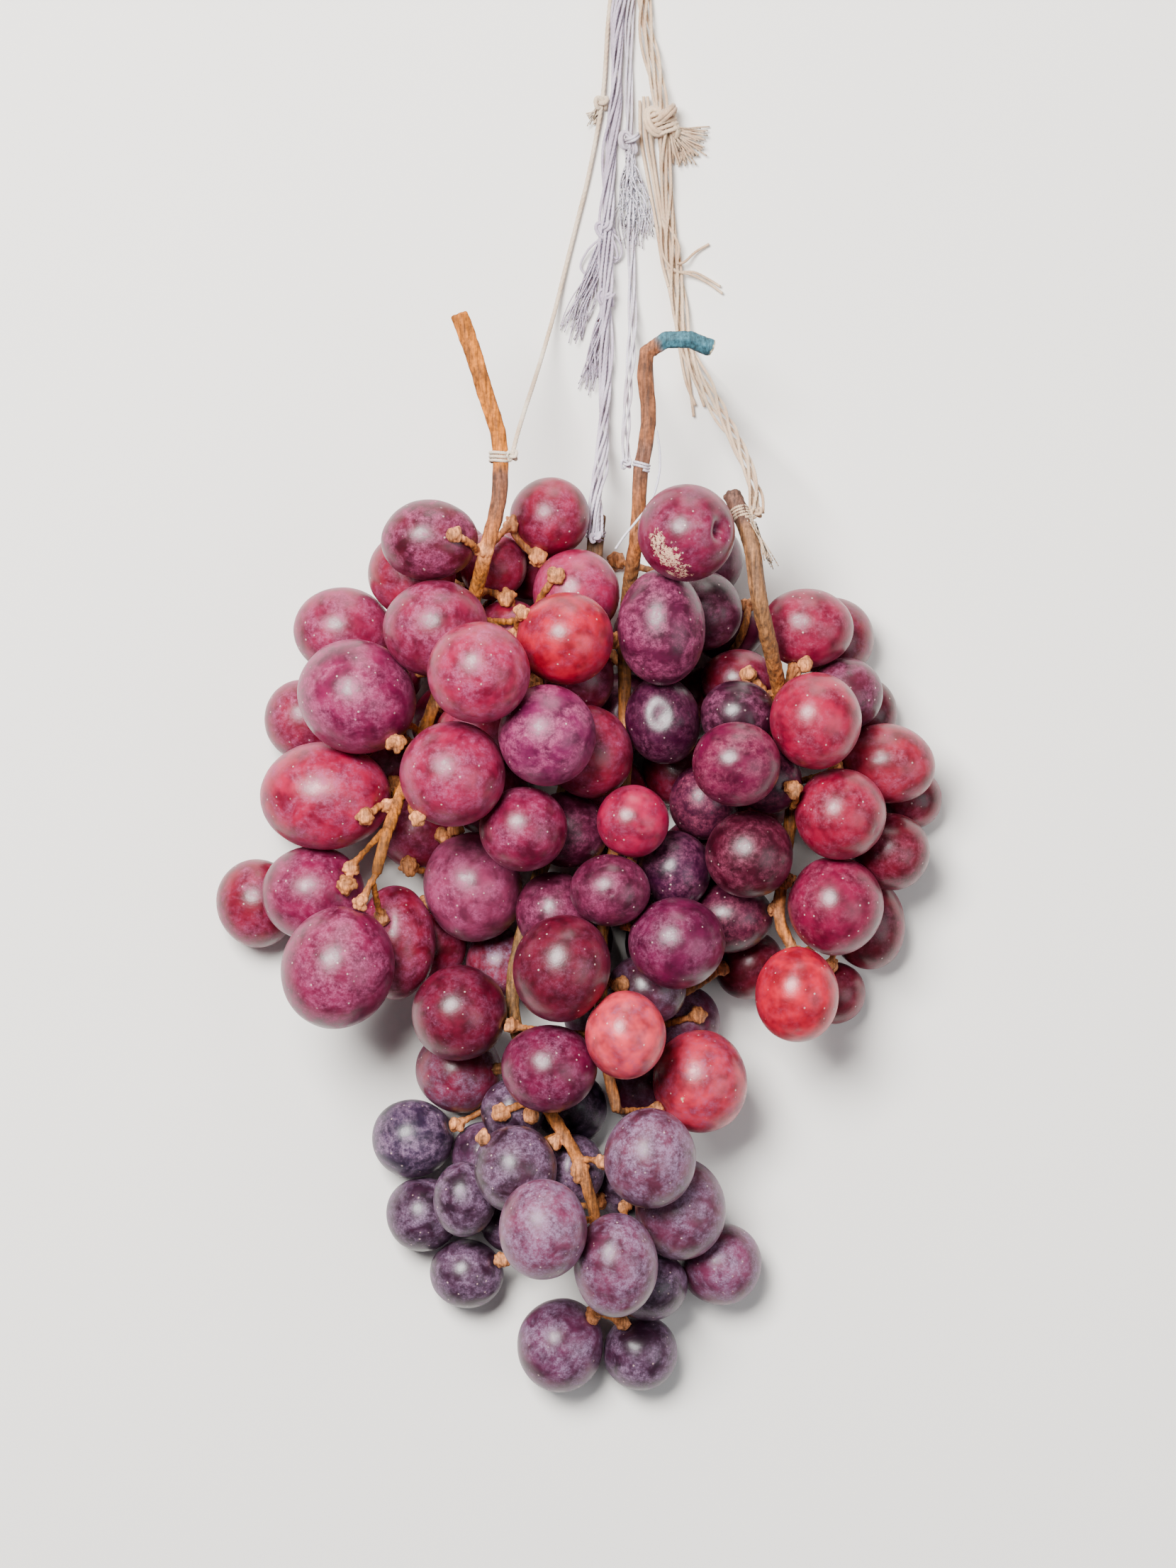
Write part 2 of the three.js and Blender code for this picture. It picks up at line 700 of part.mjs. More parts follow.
function growStalks(stem, wholeRoom, otherLines) {
  const room = roomBeside(wholeRoom, otherLines);
  const ways = spreadFrom(room, stem.route);
  const [nx, ny] = room.size;
  const owner = new Map();
  const stalks = [];
  const own = berries.filter((berry) => berry.bunch === stem.bunch);
  for (const berry of own) {
    const end = chooseStemEnd(berry, room, ways, stem.route);
    berry.found = end.cost < Infinity;
    if (!berry.found) {
      const wanted = nearestOnRoute(stem.route, berry.centre).point.sub(berry.centre).normalize();
      berry.stemEnd = berry.centre.clone().addScaledVector(wanted, berry.half.x);
      continue;
    }
    berry.stemEnd = end.stemEnd;
    berry.stemNormal = end.normal;
    berry.cell = end.at;
    berry.cost = end.cost;
  }
  own.filter((berry) => berry.found).sort((a, b) => a.cost - b.cost).forEach((berry) => {
    const tip = berry.stemEnd.clone().addScaledVector(berry.stemNormal, GAP);
    const points = [
      berry.stemEnd.clone().addScaledVector(berry.stemNormal, GAP + RECEPTACLE_LENGTH * 0.8),
    ];
    const cells = [];
    let at = berry.cell;
    let joined;
    let count = 0;
    while (at >= 0) {
      const point = pointOf(room, at % nx, Math.floor(at / nx) % ny, Math.floor(at / (nx * ny)));
      if (owner.has(at)) {
        joined = owner.get(at);
        break;
      }
      cells.push(at);
      if (count % 2 === 0) points.push(point);
      count += 1;
      if (ways.from[at] < 0) break;
      at = ways.from[at];
    }
    const last = points[points.length - 1];
    const parent = joined ? joined.points : stem.route;
    let seat = parent[0];
    for (const point of parent) {
      if (point.distanceTo(last) < seat.distanceTo(last)) seat = point;
    }
    points.push(seat.clone());
    const box = new THREE.Box3().setFromPoints(points).expandByScalar(PEDUNCLE * 2);
    const beside = otherLines.filter((line) => line.points.some((spot) => box.containsPoint(spot)));
    relaxStalk(points, 1, beside);
    const stalk = { berry, points, tip };
    for (const cell of cells) owner.set(cell, stalk);
    stalks.push(stalk);
  });
  return stalks;
}

// A line along a stem or stalk, with a point at every step of the grid.
function lineOf(points, radius) {
  const curve = new THREE.CatmullRomCurve3(points);
  return { points: curve.getSpacedPoints(Math.ceil(curve.getLength() / CELL)), radius };
}

const room = measureRoom();
const stemLines = stems.map((stem) => lineOf(stem.points, PEDUNCLE / 2));
const stalkLines = [];
stems.forEach((stem, k) => {
  const others = stemLines.filter((line) => line !== stemLines[k]);
  stem.stalks = growStalks(stem, room, [...others, ...stalkLines]);
  for (const { tip, points } of stem.stalks) stalkLines.push(lineOf([tip, ...points], PEDICEL / 2));
});

// ---------------------------------------------------------------- pieces

const group = new THREE.Group();
group.name = 'bunch_of_grapes';

function addPiece(name, solid, colour, roughness) {
  const material = new THREE.MeshStandardMaterial({ color: colour, roughness, metalness: 0 });
  const mesh = new THREE.Mesh(toGeometry(solid), material);
  mesh.name = name;
  group.add(mesh);
}

// A round stem that tapers from its cut end to its tip.
function taperedStem(stem) {
  const SIDES = 6;
  const STEPS = 36;
  const geometry = tube(stem.points, PEDUNCLE / 2, SIDES, STEPS);
  const position = geometry.attributes.position;
  const point = new THREE.Vector3();
  for (let i = 0; i < position.count; i += 1) {
    point.fromBufferAttribute(position, i);
    const near = nearestOnRoute(stem.route, point);
    const share = THREE.MathUtils.lerp(1, RACHIS / PEDUNCLE, near.along);
    point.lerp(near.point, 1 - share);
    position.setXYZ(i, point.x, point.y, point.z);
  }
  return toSolid(geometry);
}

// A berry's stalk, which flares to the warty end that carries the berry.
function stalkSolid(stalk) {
  const SIDES = 4;
  const SPACING = 4.6;
  const { stemEnd, stemNormal } = stalk.berry;
  const tip = stemEnd.clone().addScaledVector(stemNormal, GAP);
  const points = [tip, ...stalk.points];
  const length = new THREE.CatmullRomCurve3(points).getLength();
  const geometry = tube(points, PEDICEL / 2, SIDES, Math.max(2, Math.round(length / SPACING)));
  const position = geometry.attributes.position;
  const point = new THREE.Vector3();
  for (let i = 0; i < position.count; i += 1) {
    point.fromBufferAttribute(position, i);
    if (point.distanceTo(tip) < PEDICEL) {
      point.lerp(tip, 1 - (RECEPTACLE / PEDICEL));
      position.setXYZ(i, point.x, point.y, point.z);
    }
  }
  return toSolid(geometry);
}

for (const stem of stems) {
  let solid = taperedStem(stem);
  for (const stalk of stem.stalks) solid = solid.add(stalkSolid(stalk));
  addPiece(`${stem.bunch}_stem`, fillHollows(solid), STEM_COLOURS[stem.bunch], 0.8);
}

// Whether a neck would run into a stem or a stalk.
function isBlocked(start, end) {
  const neck = new THREE.Line3(start, end);
  const near = new THREE.Vector3();
  return [...stemLines, ...stalkLines].some((line) => line.points.some((point) => {
    const gap = neck.closestPointToPoint(point, true, near).distanceTo(point);
    return gap < (NECK / 2) + line.radius;
  }));
}

// The smallest set of necks that joins every berry of a piece to another one of it. A neck
// goes round the stalks where it can.
function joinedSolid(members) {
  const ROUNDABOUT = BERRY; // how much longer a free neck may be than a blocked one
  const joined = [members[0]];
  const waiting = members.slice(1);
  let solid = berrySolid(members[0]);
  while (waiting.length > 0) {
    let best = { distance: Infinity };
    for (const a of joined) {
      for (const b of waiting) {
        const n = b.centre.clone().sub(a.centre);
        const length = n.length();
        n.divideScalar(length);
        const start = a.centre.clone().addScaledVector(n, reach(a, n) * 0.8);
        const end = b.centre.clone().addScaledVector(n, -reach(b, n) * 0.8);
        let distance = length - reach(a, n) - reach(b, n);
        if (distance < best.distance && isBlocked(start, end)) distance += ROUNDABOUT;
        if (distance < best.distance) best = { distance, b, start, end };
      }
    }
    const { b, start, end } = best;
    waiting.splice(waiting.indexOf(b), 1);
    joined.push(b);
    solid = solid.add(berrySolid(b)).add(toSolid(tube([start, end], NECK / 2, 4, 1)));
  }
  return solid;
}

// Cuts a berry flat where it rests on the surface.
const below = new THREE.BoxGeometry(BUNCH_WIDTH * 3, BUNCH_LENGTH * 3, BERRY * 2);
below.translate(0, 0, -BERRY);
const belowSurface = toSolid(below);

for (const [bunch, list] of Object.entries(BUNCHES)) {
  const own = berries.filter((berry) => berry.bunch === bunch);
  const front = own.filter((berry) => berry.front);
  front.forEach((berry, k) => {
    const name = `${bunch}_berry_${String(k + 1).padStart(2, '0')}`;
    addPiece(name, berrySolid(berry).subtract(belowSurface), list.colour, 0.45);
  });
}

const inner = berries.filter((berry) => !berry.front);
for (const berry of inner) {
  const away = Object.values(INNER_GROUPS).map(([x, y]) => (
    Math.hypot(berry.drawn[0] - x, berry.drawn[1] - y)));
  berry.group = Object.keys(INNER_GROUPS)[away.indexOf(Math.min(...away))];
}
for (const name of Object.keys(INNER_GROUPS)) {
  const members = inner.filter((berry) => berry.group === name);
  const { colour } = BUNCHES[members[0].bunch];
  addPiece(`inner_berries_${name}`, joinedSolid(members).subtract(belowSurface), colour, 0.45);
}

// ---------------------------------------------------------------- strings

function ball(place3, radius) {
  const geometry = new THREE.IcosahedronGeometry(radius, 1);
  geometry.translate(...place3);
  return toSolid(geometry);
}

for (const cord of cords) {
  const { thickness, knots = [], tie } = cord;
  const length = new THREE.CatmullRomCurve3(cord.points).getLength();
  const steps = Math.min(70, Math.round(length / (thickness * 3)));
  let solid = toSolid(tube(cord.points, thickness / 2, 8, steps));
  for (const knot of knots) solid = solid.add(ball(knot, knot[2] - 0.05));
  if (tie) {
    const wrap = Math.min(thickness, WRAP);
    const ring = new THREE.TorusGeometry((PEDUNCLE / 2) + GAP + (wrap / 2), wrap / 2, 5, 10);
    ring.applyQuaternion(new THREE.Quaternion().setFromUnitVectors(
      new THREE.Vector3(0, 0, 1),
      new THREE.Vector3(...tie.along).normalize(),
    ));
    ring.translate(...tie.at);
    solid = solid.add(toSolid(ring));
  }
  addPiece(cord.name, solid, cord.colour, 0.9);
}
const knotRadius = GATHER_KNOT / 2;
addPiece('gathering_knot', ball([...GATHER_PLACE, knotRadius], knotRadius), '#d6cbbb', 0.9);

// The origin is under the middle of the berries and stems, without the strings.
const stringNames = ['gathering_knot', ...cords.map((cord) => cord.name)];
const bounds = new THREE.Box3();
for (const piece of group.children) {
  if (!stringNames.includes(piece.name)) bounds.expandByObject(piece);
}
const middle = bounds.getCenter(new THREE.Vector3());
group.position.set(-middle.x, -middle.y, 0);

export default group;
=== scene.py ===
# %% [markdown]
# # A bunch of red table grapes
# Four small bunches on cut stems are tied together with cotton string and lie on a pale table.
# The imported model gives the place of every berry, stem and string. This script reads those
# places and grows the finished surfaces on them: skins with bloom, woody stems, spun cotton.

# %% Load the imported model
import math

import bmesh
import bpy
import numpy as np
from mathutils import Matrix, Vector, noise


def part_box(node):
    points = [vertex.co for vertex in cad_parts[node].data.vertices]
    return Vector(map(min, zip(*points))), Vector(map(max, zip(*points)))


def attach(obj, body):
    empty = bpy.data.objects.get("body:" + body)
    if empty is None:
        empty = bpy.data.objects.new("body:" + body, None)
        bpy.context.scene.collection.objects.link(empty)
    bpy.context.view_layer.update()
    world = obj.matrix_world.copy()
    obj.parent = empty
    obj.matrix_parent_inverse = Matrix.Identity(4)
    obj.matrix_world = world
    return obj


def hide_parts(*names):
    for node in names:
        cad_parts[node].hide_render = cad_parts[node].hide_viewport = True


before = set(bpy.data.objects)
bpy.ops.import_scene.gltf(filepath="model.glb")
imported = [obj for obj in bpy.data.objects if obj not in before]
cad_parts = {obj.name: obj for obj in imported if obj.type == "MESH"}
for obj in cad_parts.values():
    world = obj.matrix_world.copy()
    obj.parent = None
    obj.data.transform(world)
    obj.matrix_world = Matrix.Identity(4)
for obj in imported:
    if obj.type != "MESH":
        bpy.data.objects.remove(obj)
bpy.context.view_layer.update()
MM = 0.001
rng = np.random.default_rng(7)

# %% [markdown]
# ## Camera
# The bunch lies down, so the camera hangs above it and looks straight down. A long lens far
# away keeps the upper berries from looking much larger than the lower ones. The frame is as
# tall as the bunch and its strings up to just below the knot that gathers them.

# %% Camera above the bunch
FRAME_HEIGHT = 0.400
FRAME_MIDDLE = (0.0022, 0.0194)
CAMERA_RISE = 1.25
FOCUS_HEIGHT = 0.038

camera_data = bpy.data.cameras.new("camera")
camera_data.sensor_fit = "VERTICAL"
camera_data.angle = 2 * math.atan(FRAME_HEIGHT / 2 / (CAMERA_RISE - FOCUS_HEIGHT))
camera_data.clip_end = 20
camera = bpy.data.objects.new("camera", camera_data)
bpy.context.collection.objects.link(camera)
camera.location = (*FRAME_MIDDLE, CAMERA_RISE)
bpy.context.scene.camera = camera
print("lens in mm", round(camera_data.lens, 1))

# %% [markdown]
# ## Mesh helpers
# Every new piece is a mesh made from arrays of points, so that its numbers can be worked out
# in one go. A route is drawn with few points and then rounded with a Catmull-Rom curve, which
# passes through each of them.

# %% Mesh helpers


def make_object(name, points, faces, smooth=True):
    mesh = bpy.data.meshes.new(name)
    mesh.from_pydata([tuple(p) for p in points], [], [tuple(f) for f in faces])
    mesh.update()
    if smooth:
        mesh.polygons.foreach_set("use_smooth", [True] * len(mesh.polygons))
    obj = bpy.data.objects.new(name, mesh)
    bpy.context.collection.objects.link(obj)
    return obj


def read_values(data, what, count=3, kind=np.float32):
    """One row of values for each item of a mesh, such as the places of its corners."""
    values = np.zeros(len(data) * count, kind)
    data.foreach_get(what, values)
    return values.reshape(-1, count)


def unit_ball(detail):
    ball = bmesh.new()
    bmesh.ops.create_icosphere(ball, subdivisions=detail, radius=1)
    points = np.array([v.co[:] for v in ball.verts])
    faces = [tuple(v.index for v in f.verts) for f in ball.faces]
    ball.free()
    return points, faces


def nearest(points, places):
    """How far each point is from the nearest of some places."""
    distance = np.full(len(points), 1.0)
    for place in places:
        distance = np.minimum(distance, np.linalg.norm(points - place, axis=1))
    return distance


def blend(a, b, share):
    return a * (1 - share) + b * share


def set_attribute(obj, name, values):
    attribute = obj.data.attributes.new(name, "FLOAT", "POINT")
    attribute.data.foreach_set("value", np.asarray(values, np.float32))


def set_colour(obj, name, colours):
    attribute = obj.data.color_attributes.new(name, "FLOAT_COLOR", "POINT")
    attribute.data.foreach_set("color", np.asarray(colours, np.float32).ravel())


def round_route(points, spacing):
    """Points about one spacing apart on the smooth curve through the given ones."""
    p = np.asarray(points, float)
    p = np.vstack([2 * p[0] - p[1], p, 2 * p[-1] - p[-2]])
    out = []
    for a, b, c, d in zip(p[:-3], p[1:-2], p[2:-1], p[3:]):
        t1 = np.linalg.norm(b - a) ** 0.5
        t2 = t1 + np.linalg.norm(c - b) ** 0.5
        t3 = t2 + np.linalg.norm(d - c) ** 0.5
        steps = max(1, round(np.linalg.norm(c - b) / spacing))
        for t in np.linspace(t1, t2, steps, endpoint=False):
            ab = a + (b - a) * t / t1
            bc = b + (c - b) * (t - t1) / (t2 - t1)
            cd = c + (d - c) * (t - t2) / (t3 - t2)
            abc = ab + (bc - ab) * t / t2
            bcd = bc + (cd - bc) * (t - t1) / (t3 - t1)
            out.append(abc + (bcd - abc) * (t - t1) / (t2 - t1))
    out.append(p[-2])
    return np.array(out)


def carried_frames(route):
    """The direction of a route and two directions across it, carried along without twist."""
    along = np.gradient(route, axis=0)
    along /= np.linalg.norm(along, axis=1)[:, None]
    side = np.cross(along[0], (0, 0, 1) if abs(along[0][2]) < 0.9 else (1, 0, 0))
    sides = []
    for t in along:
        side = side - t * side.dot(t)
        side /= np.linalg.norm(side)
        sides.append(side)
    sides = np.array(sides)
    return along, sides, np.cross(along, sides)


def route_length(route):
    return float(np.linalg.norm(np.diff(route, axis=0), axis=1).sum())


print("helpers ready")

# %% [markdown]
# ## Cotton string
# The string is spun cotton: a few plies twisted round each other, several strands side by
# side. A plain tube would look like wire, so each strand is swept with a lobed outline that
# turns as it goes, which is the outline of twisted plies. The route repeats the one of the
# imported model, and its place comes from the gathering knot.

# %% Sweep a twisted strand
PLY_LOBES = 3
PLY_TURN = 3.6  # strand widths for one full turn of the plies


def strand(route, radius, sides=12, lobe=0.16, taper=0.0):
    """Points and faces of a twisted strand along a route, closed at both ends."""
    along, side, up = carried_frames(route)
    run = np.concatenate([[0], np.cumsum(np.linalg.norm(np.diff(route, axis=0), axis=1))])
    turn = 2 * math.pi * run / (2 * radius * PLY_TURN)
    width = radius * (1 - taper * run / max(run[-1], 1e-9))
    angles = np.linspace(0, 2 * math.pi, sides, endpoint=False)
    wave = 1 - lobe + lobe * np.abs(np.cos(PLY_LOBES / 2 * angles))
    spin = angles[None, :] + turn[:, None]
    ring = width[:, None] * wave[None, :]
    points = (route[:, None] + (ring * np.cos(spin))[..., None] * side[:, None]
              + (ring * np.sin(spin))[..., None] * up[:, None]).reshape(-1, 3)
    faces = []
    for i in range(len(route) - 1):
        for j in range(sides):
            k = (j + 1) % sides
            faces.append((i * sides + j, i * sides + k, (i + 1) * sides + k, (i + 1) * sides + j))
    faces.append(tuple(reversed(range(sides))))
    faces.append(tuple(range(len(points) - sides, len(points))))
    return points, faces


def join_parts(parts):
    points, faces, start = [], [], 0
    for part_points, part_faces in parts:
        points.append(part_points)
        faces += [tuple(i + start for i in face) for face in part_faces]
        start += len(part_points)
    return np.vstack(points), faces


print("a strand turns once in", PLY_TURN, "widths")

# %% Routes of the strings
KNOT_PLACE = Vector((15.5, 261.5, 0)) * MM
low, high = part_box("gathering_knot")
shift = Vector(((low.x + high.x) / 2, (low.y + high.y) / 2, 0)) - KNOT_PLACE

STRINGS = {
    "string_left": {
        "thickness": 1.4,
        "strands": [(0.0, 0.62)],
        "tie": ((-19, 124, 48.6), (0, -16, 2)),
        "route": [
            (-15.6, 124.4, 48.2), (-14.6, 129, 45.5), (-12.6, 137, 35), (-10.2, 146, 21),
            (-7.6, 156, 9), (-5, 166, 3), (-2.6, 176, 1.2), (0.4, 188, 0.9), (3.4, 200, 0.9),
            (6, 213, 1.3), (7.2, 220, 1.9), (8, 228, 1.3), (8.8, 241, 0.9), (9.8, 250, 1.2),
            (11, 256.4, 2.2),
        ],
    },
    "string_lower": {
        "thickness": 3.0,
        "strands": [(1.5, 0.44)] * 6 + [(0.5, 0.5)] * 2,
        "tie": ((5.6, 106, 20), (-0.2, -1, 0)),
        "route": [
            (5.6, 105, 24.3), (5.7, 111, 24.8), (6.2, 117, 21.6), (6.8, 124, 13.5),
            (7.2, 131, 6.4), (7.6, 140, 2.4), (8.2, 155, 2), (8.6, 169, 3), (8.4, 178, 2.4),
            (8.2, 187, 3), (9, 205, 1.8), (11.2, 221, 1.8), (11.4, 241, 1.8), (12.2, 249, 2.2),
            (13.1, 256.2, 3),
        ],
    },
    "string_centre": {
        "thickness": 2.0,
        "strands": [(0.85, 0.38)] * 4,
        "tie": ((17.1, 122, 45), (-2, -12, 1)),
        "route": [
            (13.3, 122.6, 45), (13, 128, 41), (13.4, 136, 31), (14, 145, 19), (14.8, 154, 9),
            (15.2, 163, 3.6), (15.2, 172, 1.6), (15, 185, 1.3), (14.7, 199, 1.6),
            (14.6, 210, 2.3), (14.5, 224, 1.4), (14.4, 241, 1.3), (15, 249, 2),
            (15.6, 255.8, 3.2),
        ],
    },
    "string_right": {
        "thickness": 3.0,
        "strands": [(1.6, 0.44)] * 5 + [(0.4, 0.46)],
        "tie": ((42.4, 109.5, 47.2), (3, -7, 4)),
        "route": [
            (46.3, 110, 47), (46.2, 115, 45.4), (44.8, 121, 40.4), (42.2, 128, 31),
            (39, 135, 20.6), (35.4, 143, 10.5), (31.8, 151, 4.6), (28.8, 160, 2.2),
            (27, 172, 1.8), (25, 187, 1.8), (24, 202, 2.4), (23.4, 215, 4.4), (21.2, 228, 2.4),
            (18.4, 241, 1.8), (18, 249, 2.2), (18, 256.2, 3),
        ],
    },
}
THREAD = {
    "thickness": 0.8,
    "route": [
        (20.9, 131, 47.5), (21.6, 127, 46.6), (21.8, 122, 46.4), (21, 117, 47), (19, 112, 48.6),
        (16, 108, 49.4), (13, 104.4, 48.6), (10.6, 101, 46.6),
    ],
}


def placed(points):
    return np.asarray(points, float) * MM + np.array(shift)


print("strings are shifted by", [round(v / MM, 2) for v in shift], "mm")

# %% Make the strings
STRAND_SPACING = 0.45 * MM
WANDER_TURN = 60 * MM  # a strand goes once round its bundle in this length
cords = {}
for name, string in STRINGS.items():
    route = round_route(placed(string["route"]), STRAND_SPACING)
    along, side, up = carried_frames(route)
    run = np.linspace(0, route_length(route), len(route))
    parts = []
    for k, (offset, radius) in enumerate(string["strands"]):
        angle = 2 * math.pi * (k / len(string["strands"]) + run / WANDER_TURN)
        wander = 1 + 0.25 * np.sin(run / (7 * MM) + k * 2.1)
        across = np.cos(angle)[:, None] * side + np.sin(angle)[:, None] * up
        line = route + across * (offset * MM * wander)[:, None]
        line[:, 2] = np.maximum(line[:, 2], (radius + 0.05) * MM)
        parts.append(strand(line, radius * MM))
    cords[name] = make_object(name + "_cotton", *join_parts(parts))
    string["line"] = route
    print(name, "length in mm", round(route_length(route) / MM, 1))
thread_line = round_route(placed(THREAD["route"]), 0.3 * MM)
cords["loose_thread"] = make_object("loose_thread_cotton", *strand(thread_line, 0.34 * MM))
print("loose_thread length in mm", round(route_length(thread_line) / MM, 1))

# %% [markdown]
# ## Ties, knots and frayed ends
# Each string is wound round its stem and tied, and lengths of string are joined by overhand
# knots whose cut ends fray into tassels. An overhand knot is a trefoil, so its strands can be
# swept along a trefoil curve. A tassel is many fine threads that start in the knot and fan out
# to a line of tips on the table, each with its own length and curl.

# %% Knots, windings and tassels


def knot_parts(centre, size, width, strands, radius, turn):
    """A trefoil of several strands, turned about X and then about Z."""
    t = np.linspace(0, 2 * math.pi, 90, endpoint=False)
    curve = np.stack([np.sin(t) + 2 * np.sin(2 * t), np.cos(t) - 2 * np.cos(2 * t),
                      -1.7 * np.sin(3 * t)], 1) / 3
    turned = Matrix.Rotation(turn[1], 3, "Z") @ Matrix.Rotation(turn[0], 3, "X")
    curve = curve * (width / 2, size / 2, width / 2) * MM @ np.array(turned).T
    along, side, up = carried_frames(curve)
    parts = []
    for k in range(strands):
        angle = 2 * math.pi * k / strands
        across = (math.cos(angle) * side + math.sin(angle) * up) * radius * 0.95
        line = curve + (across if strands > 1 else 0) + centre
        line[:, 2] = np.maximum(line[:, 2], radius)
        parts.append(strand(np.vstack([line, line[:1]]), radius, 8, 0.12))
    return parts


def winding_parts(at, along, turns, radius, around):
    """A string wound round a stem that runs along a direction."""
    t = np.linspace(0, 2 * math.pi * turns, round(26 * turns))
    frame_z = Vector(along).normalized()
    turned = np.array(frame_z.to_track_quat("Z", "Y").to_matrix())
    pitch = 2 * radius * 1.04
    rise = pitch * (t / (2 * math.pi) - turns / 2)
    slant = 0.4 * MM * np.sin(t + 1)
    coil = np.stack([around * np.cos(t), around * np.sin(t), rise + slant], 1)
    return [strand(coil @ turned.T + at, radius, 8, 0.14)]


def tassel_parts(start, tips, count, curl, radius):
    """Frayed threads from a start to tips along a line, in mm of the drawn routes."""
    start = placed([start])[0]
    tips = placed(tips)
    parts = []
    for k in range(count):
        share = (k + rng.random()) / count * (len(tips) - 1)
        i = min(int(share), len(tips) - 2)
        tip = tips[i] + (tips[i + 1] - tips[i]) * (share - i) + rng.normal(size=3) * 0.6 * MM
        tip = start + (tip - start) * rng.uniform(0.80, 1.04)
        root = start + rng.normal(size=3) * 0.45 * MM
        s = np.linspace(0, 1, 8)[:, None]
        line = root + (tip - root) * s
        phase = rng.uniform(0, 6.3, 3)
        waves = np.sin(s * rng.uniform(3, 8) + phase) * curl * MM * np.sin(math.pi * s * 0.85)
        line = line + waves * (1, 0.6, 0.7)
        line[1:, 2] = np.maximum(line[1:, 2], radius + 0.05 * MM + rng.random() * 0.8 * MM)
        parts.append(strand(round_route(line, 0.8 * MM), radius, 5, 0.1, taper=0.25))
    return parts


def loop_parts(points, radius):
    return [strand(round_route(placed(points), 0.5 * MM), radius, 8, 0.14)]


BIG_WINDING = ("string_right", (23.3, 215, 4.2), (-2, 5, 0.6), 5, 0.62, 3.2)
KNOTS = {  # string, place, length along, width across, strands, strand radius, turns
    "string_left_knot": ("string_left", (7.2, 220.3, 2.3), 4.4, 3.6, 1, 0.62, (1.2, 0.3)),
    "string_lower_knot": ("string_lower", (8.5, 169, 2.8), 4.6, 4.0, 2, 0.45, (0.8, 0.2)),
    "string_lower_upper_knot": ("string_lower", (8.2, 187, 3.0), 5.4, 4.4, 2, 0.5, (1.0, 0.7)),
    "string_centre_knot": ("string_centre", (14.6, 210, 3.2), 6.6, 5.0, 3, 0.46, (0.9, 0.2)),
    "string_right_knot": ("string_right", (23.3, 215, 4.8), 9.6, 8.4, 4, 0.72, (0.7, 0.5)),
}
TASSELS = {  # string, start, line of tips, threads, curl, thread radius
    "string_left_tassel": ("string_left", (6.6, 219.4, 2.0),
                           [(3.0, 217.4, 0.5), (4.8, 214.2, 0.5)], 16, 0.3, 0.26),
    "string_lower_upper_tassel": ("string_lower", (7.6, 185.4, 2.6),
                                  [(-3.8, 162, 0.5), (-0.6, 158, 0.5), (3, 160, 0.5)],
                                  30, 1.2, 0.26),
    "string_lower_tassel": ("string_lower", (8.0, 167.6, 2.6),
                            [(0.6, 146.4, 0.5), (6.0, 143.6, 0.5)], 26, 0.8, 0.26),
    "string_centre_tassel": ("string_centre", (14.6, 208, 2.6),
                             [(11.2, 184, 0.6), (17.4, 182, 0.6), (21, 187, 0.6)],
                             44, 1.8, 0.25),
    "string_right_tassel": ("string_right", (25.2, 212.8, 4.2),
                            [(35.4, 213.8, 1.6), (34.2, 208.4, 1.2), (30.6, 204.4, 1.0),
                             (26.4, 203.6, 0.9)], 46, 0.25, 0.32),
    "string_right_tie_tassel": ("string_right", (44.6, 108.2, 50.6),
                                [(48.6, 97.2, 50.4), (51.4, 96.8, 49.6)], 12, 0.2, 0.26),
}
LOOPS = {  # string, radius and routes of single loose strands
    "string_lower_loops": ("string_lower", 0.34, [
        [(8.2, 187, 3.4), (11.4, 184.6, 2.4), (12.4, 180.6, 1.6), (10.4, 178.6, 1.6),
         (8.6, 181.6, 3.0)],
        [(7.2, 185, 3.2), (3.4, 181.4, 2.0), (1.6, 177.2, 1.0), (3.6, 175.4, 0.9),
         (6.2, 178.6, 2.2)],
        [(9, 186, 3.6), (10.8, 182.6, 3.0), (11.2, 179.4, 2.0), (9.4, 180.4, 2.6)]]),
    "string_right_upper_strands": ("string_right", 0.5, [
        [(18.2, 222, 2.2), (18.6, 213, 1.4), (20.6, 201, 0.8), (22.4, 190, 0.8),
         (24.4, 178, 1.0), (25.8, 172, 0.9)],
        [(19.2, 222, 2.4), (20, 212, 1.6), (21.6, 200, 0.9), (23.6, 188, 0.9),
         (25.4, 178, 1.2), (26.8, 172, 1.0)],
        [(17.2, 221, 1.6), (17.4, 212, 0.9), (19.4, 200, 0.7), (21.6, 188, 0.7),
         (23.2, 178, 0.8), (24.8, 172, 0.8)]]),
    "string_right_lower_strands": ("string_right", 0.46, [
        [(25.8, 172, 0.9), (27.4, 164, 0.7), (29.0, 155, 0.6), (30.2, 147, 0.6),
         (31.4, 138, 0.6)],
        [(26.8, 172, 1.0), (28.4, 164, 0.8), (30.2, 155, 0.8), (32.4, 146, 0.6),
         (34.2, 140.6, 0.6)],
        [(24.8, 172, 0.8), (26.4, 164, 0.7), (27.8, 155, 0.6), (29.4, 147, 0.6),
         (31.8, 141, 0.7)]]),
    "string_right_loose_ends": ("string_right", 0.42, [
        [(22.6, 188, 2.6), (23.4, 180, 2.8), (26.4, 176.2, 3.0), (30.6, 175.2, 2.2),
         (35, 173.2, 0.9), (39, 170.4, 0.6)],
        [(23.4, 190, 2.4), (27.4, 182.6, 3.2), (27.2, 178, 3.2), (28.8, 178.4, 2.8),
         (31.8, 181.2, 1.2), (35.4, 183.4, 0.6)],
        [(24, 176.8, 1.4), (27.4, 175.8, 2.6), (31.4, 175.8, 2.2), (35.4, 174, 0.9),
         (38.4, 172.2, 0.6)]]),
}
